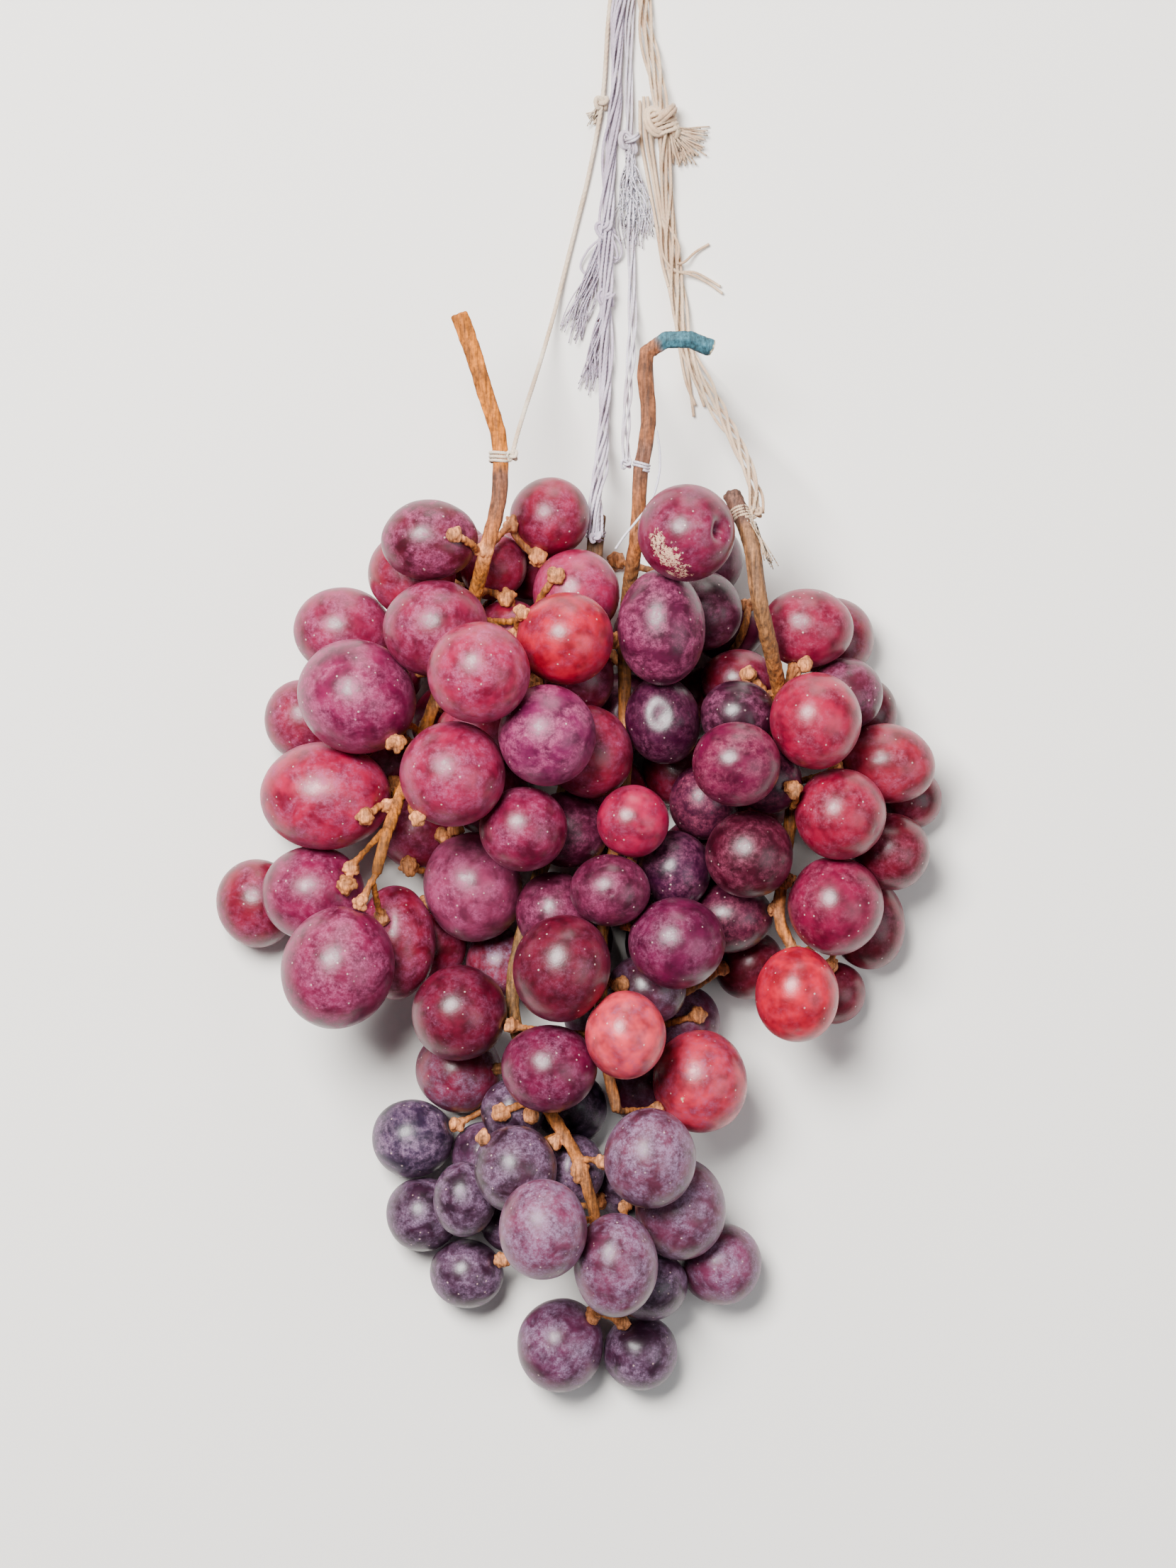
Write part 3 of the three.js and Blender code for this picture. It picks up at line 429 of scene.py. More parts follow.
TIES = {"string_left": (2.6, 0.48), "string_lower": (2.6, 0.48), "string_centre": (2.2, 0.36),
        "string_right": (4.2, 0.42)}  # turns round the stem and strand radius
STEM_RADIUS = 1.66 * MM

cord_pieces = {name: [] for name in STRINGS}


def keep_piece(string, name, parts):
    piece = make_object(name, *join_parts(parts))
    cord_pieces[string].append(piece)


for name, (string, at, size, width, strands, radius, turn) in KNOTS.items():
    keep_piece(string, name, knot_parts(placed([at])[0], size, width, strands, radius * MM, turn))
for name, (string, start, tips, count, curl, radius) in TASSELS.items():
    keep_piece(string, name, tassel_parts(start, tips, count, curl, radius * MM))
for name, (string, radius, routes) in LOOPS.items():
    keep_piece(string, name, [p for points in routes for p in loop_parts(points, radius * MM)])
for string, (turns, radius) in TIES.items():
    at, along = STRINGS[string]["tie"]
    around = STEM_RADIUS + radius * MM
    start = STRINGS[string]["line"][0]
    parts = winding_parts(placed([at])[0], along, turns, radius * MM, around)
    parts += knot_parts(start + np.array((0, 0, 0.2)) * MM, 3.4, 3.0, 1, radius * MM, (1.3, 0.4))
    keep_piece(string, string + "_tie", parts)
string, at, along, turns, radius, around = BIG_WINDING
keep_piece(string, "string_right_knot_winding",
           winding_parts(placed([at])[0], along, turns, radius * MM, around * MM))
print({name: len(found) for name, found in cord_pieces.items()}, "pieces on the strings")

# %% The knot that gathers the strings
GATHER_SIZE = 11.4
gather_at = np.array(placed([(15.5, 261.5, 5.7)]))[0]
parts = knot_parts(gather_at, GATHER_SIZE, 10.4, 5, 0.85 * MM, (0.6, 0.3))
parts += knot_parts(gather_at, GATHER_SIZE * 0.6, 6.4, 3, 0.85 * MM, (1.4, 1.9))
parts += tassel_parts((15.5, 265, 5), [(11, 272.4, 1.4), (15.5, 274, 1.6), (20, 272.4, 1.4)],
                      40, 0.4, 0.3 * MM)
gathering_knot = make_object("gathering_knot_cotton", *join_parts(parts))
print("gathering knot points", len(gathering_knot.data.vertices))

# %% [markdown]
# ## Where the berries are
# Each front berry is a node of its own, whose corners all lie on an ellipsoid, so a least
# squares fit gives its centre and size. The covered berries are joined in groups. There every
# face looks away from the centre of its own berry, so each face votes for points behind it,
# and the places with most votes are the centres. An ellipsoid is then fitted to the corners
# round each one.

# %% Fit an ellipsoid
TABLE_GAP = 0.02 * MM  # corners below this height are on a berry's flat spot


def fit_ellipsoid(points):
    """Centre, half sizes and turn about Z of the upright ellipsoid through the points."""
    middle = points.mean(0)
    scale = np.ptp(points, axis=0).mean()
    x, y, z = ((points - middle) / scale).T
    terms = np.stack([x * x, x * y, y * y, z * z, x, y, z], 1)
    a, b, c, d, e, f, g = np.linalg.lstsq(terms, np.ones(len(x)), rcond=None)[0]
    flat = np.array([[a, b / 2], [b / 2, c]])
    if np.linalg.eigvalsh(flat).min() <= 0 or d <= 0:
        return None
    at = -0.5 * np.linalg.solve(flat, (e, f))
    height = -g / (2 * d)
    size = 1 + at @ flat @ at + d * height * height
    values, vectors = np.linalg.eigh(flat / size)
    half = np.append(1 / np.sqrt(values), math.sqrt(size / d)) * scale
    axes = np.eye(3)
    axes[:2, :2] = vectors.T
    centre = middle + np.append(at, height) * scale
    return {"centre": centre, "half": half, "axes": axes}


def node_arrays(name):
    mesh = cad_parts[name].data
    mesh.calc_loop_triangles()
    return (read_values(mesh.vertices, "co").astype(float),
            read_values(mesh.loop_triangles, "vertices", kind=np.int32))


def shell(berry, points):
    """How far out points lie from a berry's centre, where 1 is its surface."""
    return np.linalg.norm((points - berry["centre"]) @ berry["axes"].T / berry["half"], axis=1)


# %% Find the berries of a joined group
VOTE_CELL = 1.5 * MM
SMALLEST_HALF = 7.0 * MM
LARGEST_HALF = 14.5 * MM
LEAST_SEEN = 0.25  # a berry is kept if this share of its surface is there
FACES_OUT = 0.9  # how straight a face looks away from the centre that it votes for
FIT_ROUNDS = 6
FIT_TOLERANCE = 0.01
KEPT_PERCENT = 85  # the corners that fit worst are left out of the next round


def find_joined_berries(points, triangles):
    corners = points[triangles]
    normal = np.cross(corners[:, 1] - corners[:, 0], corners[:, 2] - corners[:, 0])
    area = np.linalg.norm(normal, axis=1) / 2
    keep = area > 1e-9
    corners, normal, area = corners[keep], normal[keep], area[keep]
    normal = normal / (2 * area)[:, None]
    middle = corners.mean(1)
    depth = np.arange(SMALLEST_HALF, LARGEST_HALF, VOTE_CELL / 3)
    votes = (middle[:, None] - normal[:, None] * depth[None, :, None]).reshape(-1, 3)
    weight = np.repeat(area, len(depth))
    start = votes.min(0) - 2 * VOTE_CELL
    cells = np.ceil((votes.max(0) - start) / VOTE_CELL).astype(int) + 3
    grid = np.zeros(cells)
    index = np.floor((votes - start) / VOTE_CELL).astype(int)
    np.add.at(grid, tuple(index.T), weight)
    blurred = sum(np.roll(grid, (i, j, k), (0, 1, 2))
                  for i in (-1, 0, 1) for j in (-1, 0, 1) for k in (-1, 0, 1))
    found = []
    while True:
        peak = np.unravel_index(np.argmax(blurred), blurred.shape)
        at = start + (np.array(peak) + 0.5) * VOTE_CELL
        if blurred[peak] <= 0:
            break
        away = np.linalg.norm(middle - at, axis=1)
        looks = ((middle - at) * normal).sum(1) / np.maximum(away, 1e-9)
        near = (away < LARGEST_HALF) & (away > SMALLEST_HALF * 0.8) & (looks > FACES_OUT)
        blurred[tuple(slice(max(0, c - 4), c + 5) for c in peak)] = 0
        if area[near].sum() < LEAST_SEEN * 4 * math.pi * SMALLEST_HALF ** 2:
            if blurred.max() < area.max():
                break
            continue
        own = np.unique(corners[near].reshape(-1, 3).round(6), axis=0)
        own = own[own[:, 2] > TABLE_GAP]
        fit = None
        for _ in range(FIT_ROUNDS):
            fit = fit_ellipsoid(own) if len(own) > 9 else None
            if fit is None or fit["half"].max() > LARGEST_HALF * 1.1:
                fit = None
                break
            off = np.abs(shell(fit, own) - 1)
            if off.max() < FIT_TOLERANCE:
                break
            own = own[off < max(FIT_TOLERANCE, np.percentile(off, KEPT_PERCENT))]
        if fit is None or fit["half"].min() < SMALLEST_HALF * 0.9:
            continue
        if all(np.linalg.norm(fit["centre"] - b["centre"]) > SMALLEST_HALF for b in found):
            found.append(fit)
    return found


berries = []
for name in sorted(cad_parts):
    if "berr" not in name:
        continue
    points, triangles = node_arrays(name)
    if name.startswith("inner"):
        group = find_joined_berries(points, triangles)
    else:
        group = [fit_ellipsoid(points[points[:, 2] > TABLE_GAP])]
    for berry in group:
        berry["node"] = name
        berries.append(berry)
print("berries found", len(berries), "of them in groups",
      sum(b["node"].startswith("inner") for b in berries))

# %% [markdown]
# A berry hangs on its stalk, so its shape and colour run from the stem end to the blossom end.
# The stalk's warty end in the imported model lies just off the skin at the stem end, so the
# stem corners nearest to a berry's surface show where that is, and which stem bears it.

# %% Find each stem end
BUNCHES = ("left", "centre", "right", "lower")
TIP_REACH = 22 * MM
TIP_RING = 5.2 * MM
stem_points = {name: node_arrays(name + "_stem")[0] for name in BUNCHES}
for berry in berries:
    best = (1e9, None, None)
    for name, points in stem_points.items():
        near = points[np.linalg.norm(points - berry["centre"], axis=1) < TIP_REACH]
        if len(near) == 0:
            continue
        off = (shell(berry, near) - 1) * berry["half"].mean()
        first = near[np.argmin(off)]
        if off.min() < best[0]:
            ring = near[(off < off.min() + 0.7 * MM)
                        & (np.linalg.norm(near - first, axis=1) < TIP_RING)]
            best = (off.min(), name, ring.mean(0))
    berry["bunch"] = best[1]
    berry["tip"] = best[2]
    out = (best[2] - berry["centre"]) @ berry["axes"].T / berry["half"]
    berry["stem_end"] = out / np.linalg.norm(out)
print({name: sum(b["bunch"] == name for b in berries) for name in BUNCHES})

# %% [markdown]
# ## Berries
# A grape is an ellipsoid only at first sight. Its skin is slightly uneven, it sinks in round
# the stalk, it has a small scar at the blossom end, and it is pressed flat where it meets a
# neighbour or the table. These are moves of the mesh's points, so they show in the outline.

# %% The unit ball and its unevenness
BALL_DETAIL = 5
ball_points, ball_faces = unit_ball(BALL_DETAIL)
print("points on a berry", len(ball_points))


def unevenness(points, seed, wave):
    at = points * wave + seed
    return np.array([noise.noise(Vector(p)) for p in at])


# %% Shape one berry
SWELL = 1.022  # the smooth skin stands a little outside the faceted solid
STEM_DIMPLE = (0.75 * MM, 0.20)  # depth, and width as an angle
BLOSSOM_DIMPLE = (0.30 * MM, 0.07)
DENTS = {  # direction from the centre, depth in mm and width as an angle
    "centre_berry_01": [((0.62, 0.02, 0.6), 3.6, 0.20), ((0.38, 0.10, 0.7), -0.9, 0.22)],
    "centre_berry_02": [((-0.05, 0.1, 1), 1.1, 0.36)],
    "centre_berry_08": [((-0.45, -0.35, 0.9), 0.3, 0.10)],
    "lower_berry_06": [((-0.3, -0.6, 0.8), 0.5, 0.10), ((0.2, -0.7, 0.7), 0.5, 0.12)],
}


def angle_from(berry, spot):
    """The angle at each point of the ball from a direction given in the frame's axes."""
    spot = berry["axes"] @ (np.array(spot) / np.linalg.norm(spot))
    return np.arccos(np.clip(ball_points @ spot, -1, 1))


def berry_points(berry, seed):
    u = ball_points
    lumps = 0.020 * unevenness(u, seed, 0.9) + 0.006 * unevenness(u, seed + 40, 2.6)
    along = u @ berry["stem_end"]
    from_stem = np.arccos(np.clip(along, -1, 1))
    sunk = (STEM_DIMPLE[0] * np.exp(-(from_stem / STEM_DIMPLE[1]) ** 2)
            + BLOSSOM_DIMPLE[0] * np.exp(-((math.pi - from_stem) / BLOSSOM_DIMPLE[1]) ** 2))
    pear = 1 - 0.03 * along * (1 - along ** 2)
    for spot, depth, width in DENTS.get(berry["node"], ()):
        sunk = sunk + depth * MM * np.exp(-(angle_from(berry, spot) / width) ** 2)
    ball = u * berry["half"] * (SWELL * (1 + lumps) * pear)[:, None]
    ball -= u * sunk[:, None]
    return berry["centre"] + ball @ berry["axes"]


print("berries swell by", round((SWELL - 1) * 100, 1), "percent")

# %% Press berries together
PRESS_SOFTNESS = 0.25 * MM
NEIGHBOUR_REACH = 34 * MM  # berries whose centres are farther apart never touch
TOUCHING = 1.6 * MM
HALF_GAP = 0.03 * MM
TABLE_TOUCH = 0.5 * MM


def reach(berry, direction):
    return float(np.linalg.norm((berry["axes"] @ direction) * berry["half"]))


def flatten(points, through, normal):
    """Presses the points that lie beyond a plane softly back to it."""
    beyond = (points - through) @ normal
    pressed = PRESS_SOFTNESS * np.log1p(np.exp(np.clip(beyond / PRESS_SOFTNESS, -40, 40)))
    return points - normal * np.where(beyond > -4 * PRESS_SOFTNESS, pressed, 0)[:, None]


def press(berry, points):
    for other in berries:
        between = other["centre"] - berry["centre"]
        distance = np.linalg.norm(between)
        if other is berry or distance > NEIGHBOUR_REACH:
            continue
        n = between / distance
        own, its = reach(berry, n), reach(other, -n)
        gap = distance - own - its
        if gap < TOUCHING:
            points = flatten(points, berry["centre"] + n * (own + gap / 2 - HALF_GAP), n)
    floor_normal = np.array((0.0, 0.0, -1.0))
    if points[:, 2].min() < TABLE_TOUCH:
        points = flatten(points, np.array((0, 0, TABLE_GAP)), floor_normal)
    return points


# %% [markdown]
# ## How each berry is coloured
# Berries of one bunch ripen unevenly: some stay bright red, others turn nearly black. The
# bloom is a waxy dust over the skin, thick where nothing has touched it and rubbed off where
# berries press on each other. So each berry gets a skin colour and an amount of bloom, and
# these are kept at the points of its mesh, where the material reads them.

# %% Skin colours


def linear(hex_colour):
    """An sRGB hex colour as linear red, green and blue."""
    value = np.array([int(hex_colour[i:i + 2], 16) / 255 for i in (1, 3, 5)])
    return np.where(value <= 0.04045, value / 12.92, ((value + 0.055) / 1.055) ** 2.4)


SKINS = {  # skin colour and amount of bloom of a bunch's berries
    "left": ("#6e0c24", 0.62),
    "centre": ("#400c22", 0.46),
    "right": ("#640c20", 0.46),
    "lower": ("#33162a", 0.68),
}
FRONT_SKINS = {  # the same for each front berry, in the order of their numbers
    "left": [("#47091a", 0.66), ("#670c2a", 0.66), ("#6f0f30", 0.70), ("#650f36", 0.85),
             ("#800a30", 0.72), ("#8a0c30", 0.70), ("#7d0f32", 0.66), ("#5c0f39", 0.88),
             ("#630a2b", 0.60), ("#762a47", 1.00), ("#630a30", 0.68), ("#5c0c2d", 0.72),
             ("#6e0823", 0.45), ("#830f36", 0.62), ("#980723", 0.28), ("#400b25", 0.72)],
    "centre": [("#630c2c", 0.48), ("#2f051f", 0.36), ("#900c36", 0.36), ("#2a0621", 0.52),
               ("#4f0a2d", 0.50), ("#51091d", 0.22), ("#c03342", 0.50), ("#a32237", 0.62),
               ("#560920", 0.34), ("#55072a", 0.54)],
    "right": [("#6e0929", 0.52), ("#83092c", 0.45), ("#520629", 0.50), ("#7a1528", 0.60),
              ("#7a0827", 0.48), ("#350616", 0.42), ("#67092c", 0.52), ("#ab0627", 0.24)],
    "lower": [("#24162c", 0.80), ("#341826", 0.70), ("#60273f", 0.88), ("#512233", 0.86),
              ("#4f1f33", 0.74), ("#511d33", 0.74), ("#581f39", 0.80), ("#4a1a35", 0.72)],
}
PLACED_SKINS = [  # covered berries that show between the front ones, by their place
    ((-28.8, -34.6), "#6a0e2c", 0.52), ((26.2, -20.6), "#52142e", 0.56),
    ((38.2, 60.4), "#340a20", 0.50), ((68.2, 65.4), "#4e1426", 0.58),
    ((0.4, -45), "#1c1026", 0.66), ((27.2, 36.6), "#300a20", 0.50),
    ((41.2, 6.0), "#36091f", 0.46), ((51, 42), "#2c0a1e", 0.50),
]
REACH_OF_PLACE = 9 * MM
SCABS = {"centre_berry_01": [((-0.62, -0.10, 0.75), 0.20), ((-0.45, -0.45, 0.75), 0.30),
                             ((-0.12, -0.78, 0.62), 0.36)],
         "centre_berry_08": [((-0.38, -0.3, 0.9), 0.09)]}  # direction and width as an angle
UNEVEN_RIPENESS = 0.35
UNEVEN_BLOOM = 0.2
own_skins = {f"{bunch}_berry_{k:02d}": skin for bunch, row in FRONT_SKINS.items()
             for k, skin in enumerate(row, 1)}
print("berries with a colour of their own", len(own_skins))

# %% Make the berry meshes
RUB_REACH = 1.3 * MM  # bloom is rubbed off this near to a neighbour
RUBBED_SHARE = 0.6
pieces = {}


def nearness(berry, points):
    """How near each point comes to the skin of another berry, from 0 to 1."""
    gap = np.full(len(points), 1.0)
    for other in berries:
        if other is berry or np.linalg.norm(other["centre"] - berry["centre"]) > NEIGHBOUR_REACH:
            continue
        gap = np.minimum(gap, (shell(other, points) - 1) * other["half"].mean())
    return np.exp(-np.maximum(gap, 0) / RUB_REACH)


for place, skin, bloom in PLACED_SKINS:
    spot = placed([(*place, 0)])[0][:2]
    near = [b for b in berries if b["node"].startswith("inner")
            and np.linalg.norm(b["centre"][:2] - spot) < REACH_OF_PLACE]
    if near:
        max(near, key=lambda b: b["centre"][2])["skin"] = (skin, bloom)
print("covered berries with a colour of their own", sum("skin" in b for b in berries))

for k, berry in enumerate(berries):
    seed = np.array((k * 3.7, k * 1.9, 5.0))
    points = berry_points(berry, seed)
    points = press(berry, points)
    skin, bloom = berry.get("skin", own_skins.get(berry["node"], SKINS[berry["bunch"]]))
    ripeness = 1.0
    if berry["node"] not in own_skins:
        ripeness += UNEVEN_RIPENESS * (rng.random() - 0.5) * 2
        bloom += UNEVEN_BLOOM * (rng.random() - 0.5)
    scab = sum((np.exp(-(angle_from(berry, spot) / width) ** 2)
                for spot, width in SCABS.get(berry["node"], ())), np.zeros(len(points)))
    part = pieces.setdefault(berry["node"], {"bunch": berry["bunch"], "points": [],
                                             "skin": [], "bloom": [], "scab": []})
    part["points"].append(points)
    part["skin"].append(np.tile(np.append(linear(skin) * ripeness, 1), (len(points), 1)))
    part["bloom"].append(bloom * (1 - RUBBED_SHARE * nearness(berry, points)))
    part["scab"].append(scab)
for name, part in pieces.items():
    faces = [[i + k * len(ball_points) for i in face]
             for k in range(len(part["points"])) for face in ball_faces]
    part["object"] = make_object(name + "_skin", np.vstack(part["points"]), faces)
    for value in ("bloom", "scab"):
        set_attribute(part["object"], value, np.concatenate(part[value]))
    set_colour(part["object"], "skin", np.vstack(part["skin"]))
print("berry pieces", len(pieces))

# %% [markdown]
# ## Grape skin
# A grape's skin is thin and lets some light into the flesh, so its edges glow red. Over it lies
# the bloom, which scatters light like fine dust: it turns the skin mauve, hides the gloss and
# makes a pale rim. The material mixes these two by the amounts kept in the mesh, broken up by
# patches about 7 mm across, mottling of 1.6 mm and pale pores 2.4 mm apart. The gloss comes
# through where the bloom is thin.

# %% Add nodes


def add(tree, kind, inputs=(), out=0, **settings):
    """Adds a node and returns an output. An input is a value or another node's output."""
    node = tree.nodes.new("ShaderNode" + kind)
    for name, value in settings.items():
        setattr(node, name, value)
    for key, value in inputs.items() if isinstance(inputs, dict) else enumerate(inputs):
        if isinstance(value, bpy.types.NodeSocket):
            tree.links.new(value, node.inputs[key])
        else:
            node.inputs[key].default_value = value
    return node.outputs[out]


def new_material(name, sockets):
    """A material whose shader has the given plain values, with its tree and its shader."""
    material = bpy.data.materials.new(name)
    material.use_nodes = True
    shader = material.node_tree.nodes["Principled BSDF"]
    for key, value in sockets.items():
        shader.inputs[key].default_value = value
    return material, material.node_tree, shader


def pattern(tree, size, detail=3.0, roughness=0.55, distortion=0.0, stretch=(1, 1, 1)):
    """Noise on the object's own axes whose features are about size mm across."""
    place = add(tree, "TexCoord", out="Object")
    scale = [1 / (MM * size * s) for s in stretch]
    place = add(tree, "VectorMath", (place, scale), operation="MULTIPLY")
    return add(tree, "TexNoise", {
        "Vector": place, "Scale": 1.0, "Detail": detail, "Roughness": roughness,
        "Distortion": distortion}, out="Fac")


def rgba(hex_colour):
    return (*linear(hex_colour), 1)


print("node helpers ready")

# %% Bloomed grape skin
PATCH_SIZE = 7.0
MOTTLE_SIZE = 1.6
GRAIN_SIZE = 0.45
THICKEST_BLOOM = 0.72
FLESH_SIZE = 4.5
PORE_SPACING = 2.4
PORE_SIZE = 0.11  # of the spacing
PORE_STRENGTH = 0.6
CRUMB_SIZE = 0.8
SCAB_PATCH = 3.0


def grape_skin(name, bloom_colour, mottling):
    material, tree, shader = new_material(name, {
        "IOR": 1.42, "Subsurface Weight": 0.10, "Subsurface Scale": 3.0 * MM,
        "Subsurface Radius": (1.0, 0.20, 0.30), "Sheen Weight": 0.06, "Sheen Roughness": 0.35,
        "Sheen Tint": rgba(bloom_colour), "Coat Weight": 0.07, "Coat Roughness": 0.20})

    dust = add(tree, "Attribute", out="Fac", attribute_name="bloom")
    for noise_kind, levels in (
            ((PATCH_SIZE, 3, 0.62, 0.6), (0.38, 0.60, 0.04, 1.30)),
            ((MOTTLE_SIZE, 4, 0.7), (0.38, 0.66, 1 - mottling, 1.15)),
            ((GRAIN_SIZE, 2, 0.6), (0.38, 0.64, 0.62, 1.32))):
        layer = add(tree, "MapRange", (pattern(tree, *noise_kind), *levels))
        dust = add(tree, "Math", (dust, layer), operation="MULTIPLY")
    dust = add(tree, "MapRange", (dust, 0.0, 1.0, 0.0, THICKEST_BLOOM))
    skin = add(tree, "Attribute", out="Color", attribute_name="skin")
    depth = add(tree, "MapRange", (pattern(tree, FLESH_SIZE, 2), 0.35, 0.65, 0.52, 1.28))
    shade = add(tree, "VectorMath", {0: skin, 3: depth}, operation="SCALE")
    colour = add(tree, "Mix", {0: dust, 6: shade, 7: rgba(bloom_colour)},
                 out=2, data_type="RGBA")

    place = add(tree, "TexCoord", out="Object")
    away = add(tree, "TexVoronoi", {"Vector": place, "Scale": 1 / (PORE_SPACING * MM)},
               out="Distance")
    near_pore = add(tree, "MapRange", (away, PORE_SIZE * 0.6, PORE_SIZE * 1.2, 1.0, 0.0))
    chance = add(tree, "SeparateColor", (away.node.outputs["Color"],))
    some = add(tree, "MapRange", (chance, 0.40, 0.65))
    shown = add(tree, "Math", (near_pore, some), operation="MULTIPLY")
    pale = add(tree, "Math", (shown, PORE_STRENGTH), operation="MULTIPLY")
    colour = add(tree, "Mix", {0: pale, 6: colour, 7: rgba("#d8b8b4")},
                 out=2, data_type="RGBA")

    crust = add(tree, "Attribute", out="Fac", attribute_name="scab")
    for noise_kind, levels in (((CRUMB_SIZE, 5, 0.8), (0.40, 0.58)),
                               ((SCAB_PATCH, 2), (0.38, 0.55, 0.45, 1.0))):
        layer = add(tree, "MapRange", (pattern(tree, *noise_kind), *levels))
        crust = add(tree, "Math", (crust, layer), operation="MULTIPLY")
    crust = add(tree, "MapRange", (crust, 0.34, 0.44))
    tan = add(tree, "Mix", {0: pattern(tree, 0.5), 6: rgba("#b9836c"),
                                      7: rgba("#e2bca0")}, out=2, data_type="RGBA")
    colour = add(tree, "Mix", {0: crust, 6: colour, 7: tan}, out=2, data_type="RGBA")
    tree.links.new(colour, shader.inputs["Base Color"])

    rough = add(tree, "MapRange", (dust, 0.05, 0.5, 0.32, 0.56))
    rough = add(tree, "Math", (crust, 0.3, rough), operation="MULTIPLY_ADD")
    tree.links.new(rough, shader.inputs["Roughness"])
    height = add(tree, "Math", (crust, pattern(tree, CRUMB_SIZE, 3, 0.7)), operation="MULTIPLY")
    for bumps, share in ((pattern(tree, 0.6, 3, 0.6), 0.35), (shown, 0.25)):
        height = add(tree, "Math", (bumps, share, height), operation="MULTIPLY_ADD")
    bump = add(tree, "Bump", {"Strength": 0.35, "Distance": 0.25 * MM, "Height": height})
    tree.links.new(bump, shader.inputs["Normal"])
    return material


skins = {
    "left": grape_skin("bloomed_mauve_grape_skin", "#a0466e", 0.80),
    "centre": grape_skin("speckled_maroon_grape_skin", "#8c4668", 0.94),
    "right": grape_skin("speckled_red_grape_skin", "#9c4260", 0.92),
    "lower": grape_skin("bloomed_blue_grape_skin", "#8c6e8c", 0.80),
}
for name, part in pieces.items():
    skin_piece = part["object"]
    skin_piece.data.materials.append(skins[part["bunch"]])
    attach(skin_piece, "root")
    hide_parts(name)
print("grape skins", [m.name for m in skins.values()])

# %% [markdown]
# ## Woody stems
# The stems are woody where they were cut and turn to thin golden stalks that end in a warty
# pad, where the berry sat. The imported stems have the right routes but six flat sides. They are
# remeshed to one skin of small voxels together with the warts, smoothed, thickened a little
# and grooved along their length. A voxel remesh is the simplest way to let stalks grow out of
# each other without seams. Bare stalks, whose berries were picked, stand up between the
# berries: each starts at the nearest stem and is pushed out of the berries that it passes.

# %% Bare stalks
BARE_STALKS = {  # where each warty end stands, and how wide it is
    "left": [((-9.5, 99.5), 2.5), ((-4.5, 94.5), 2.2), ((-17, 89), 2.6), ((-13, 84.5), 1.8),
             ((-30, 104), 1.8), ((-45, 52), 2.6), ((-46, 41.5), 2.4), ((-53, 33), 2.2),
             ((-43, 20), 2.6), ((-58, 15.5), 2.6), ((-34, 28), 2.4), ((-39, 33), 1.8)],
    "centre": [((11, 100), 2.4), ((12, -10), 2.2), ((32, -18.5), 2.2), ((38.5, -6.5), 1.6)],
    "right": [((45, 69.5), 2.0), ((55.5, 40), 2.2), ((59, 72), 1.8), ((45, 88), 1.5)],
    "lower": [((-19, -43), 2.2), ((-11, -44), 1.8), ((1.5, -59), 2.4), ((6, -67), 2.4),
              ((5, -97), 1.8), ((12, -97), 2.0), ((-23, -49), 1.8)],
}
STALK_RADIUS = 0.85 * MM
STALK_STEPS = 14


def highest_between(x, y, clear):
    """The lowest height at which a ball of that radius stands on the berries below it."""
    height = clear
    for berry in berries:
        wide = berry["half"][:2].mean() + clear
        away = math.hypot(x - berry["centre"][0], y - berry["centre"][1])
        if away < wide:
            rise = (berry["half"][2] + clear) * math.sqrt(1 - (away / wide) ** 2)
            height = max(height, berry["centre"][2] + rise)
    return height


def push_out(line, clear):
    """Moves the middle points of a line out of every berry."""
    for _ in range(40):
        line[1:-1] = line[1:-1] * 0.7 + (line[:-2] + line[2:]) * 0.15
        for berry in berries:
            if np.linalg.norm(line - berry["centre"], axis=1).min() > 20 * MM:
                continue
            away = line - berry["centre"]
            gap = (shell(berry, line) - 1) * berry["half"].mean() - clear
            push = away / np.linalg.norm(away, axis=1)[:, None] * np.minimum(gap, 0)[:, None]
            line[1:-1] -= push[1:-1]
    return line


bare_stalks = {name: [] for name in BUNCHES}
for name, ends in BARE_STALKS.items():
    for (x, y), width in ends:
        at = np.array(placed([(x, y, 0)]))[0]
        at[2] = highest_between(at[0], at[1], width * MM * 0.7)
        points = stem_points[name]
        weight = np.linalg.norm((points - at) * (1, 1, 0.6), axis=1)
        below = points[np.argmin(weight + 0.02 * (points[:, 2] > at[2]))]
        line = np.linspace(below, at, STALK_STEPS)
        bare_stalks[name].append((push_out(line, STALK_RADIUS), width * MM))
print("bare stalks", {name: len(lines) for name, lines in bare_stalks.items()})

# %% Remesh and groove the stems
VOXEL = 0.36 * MM
THICKEN = 0.20 * MM
WART = 0.64 * MM
BERRY_WARTS, STALK_WARTS = 26, 60
PAD_RISE, PAD_WIDTH = 1.3 * MM, 2.0 * MM
GROOVE = 0.26 * MM
GROOVE_SIZE = (0.8, 7, 0.9)  # in mm, long in the direction of the bunch


def warts(centre, width, outward, count):
    """A cluster of small round bumps about a point, on the side that faces outward."""
    parts = []
    for _ in range(count):
        way = rng.normal(size=3)
        way /= np.linalg.norm(way)
        if way @ outward < -0.5:
            way = -way
        at = centre + way * width * rng.uniform(0.35, 1.0)
        parts.append((small_ball * WART * rng.uniform(0.7, 1.35) + at, small_faces))
    return parts


def applied(obj):
    """Replaces an object's mesh with what its modifiers make of it."""
    graph = bpy.context.evaluated_depsgraph_get()
    mesh = bpy.data.meshes.new_from_object(obj.evaluated_get(graph))
    obj.modifiers.clear()
    obj.data = mesh


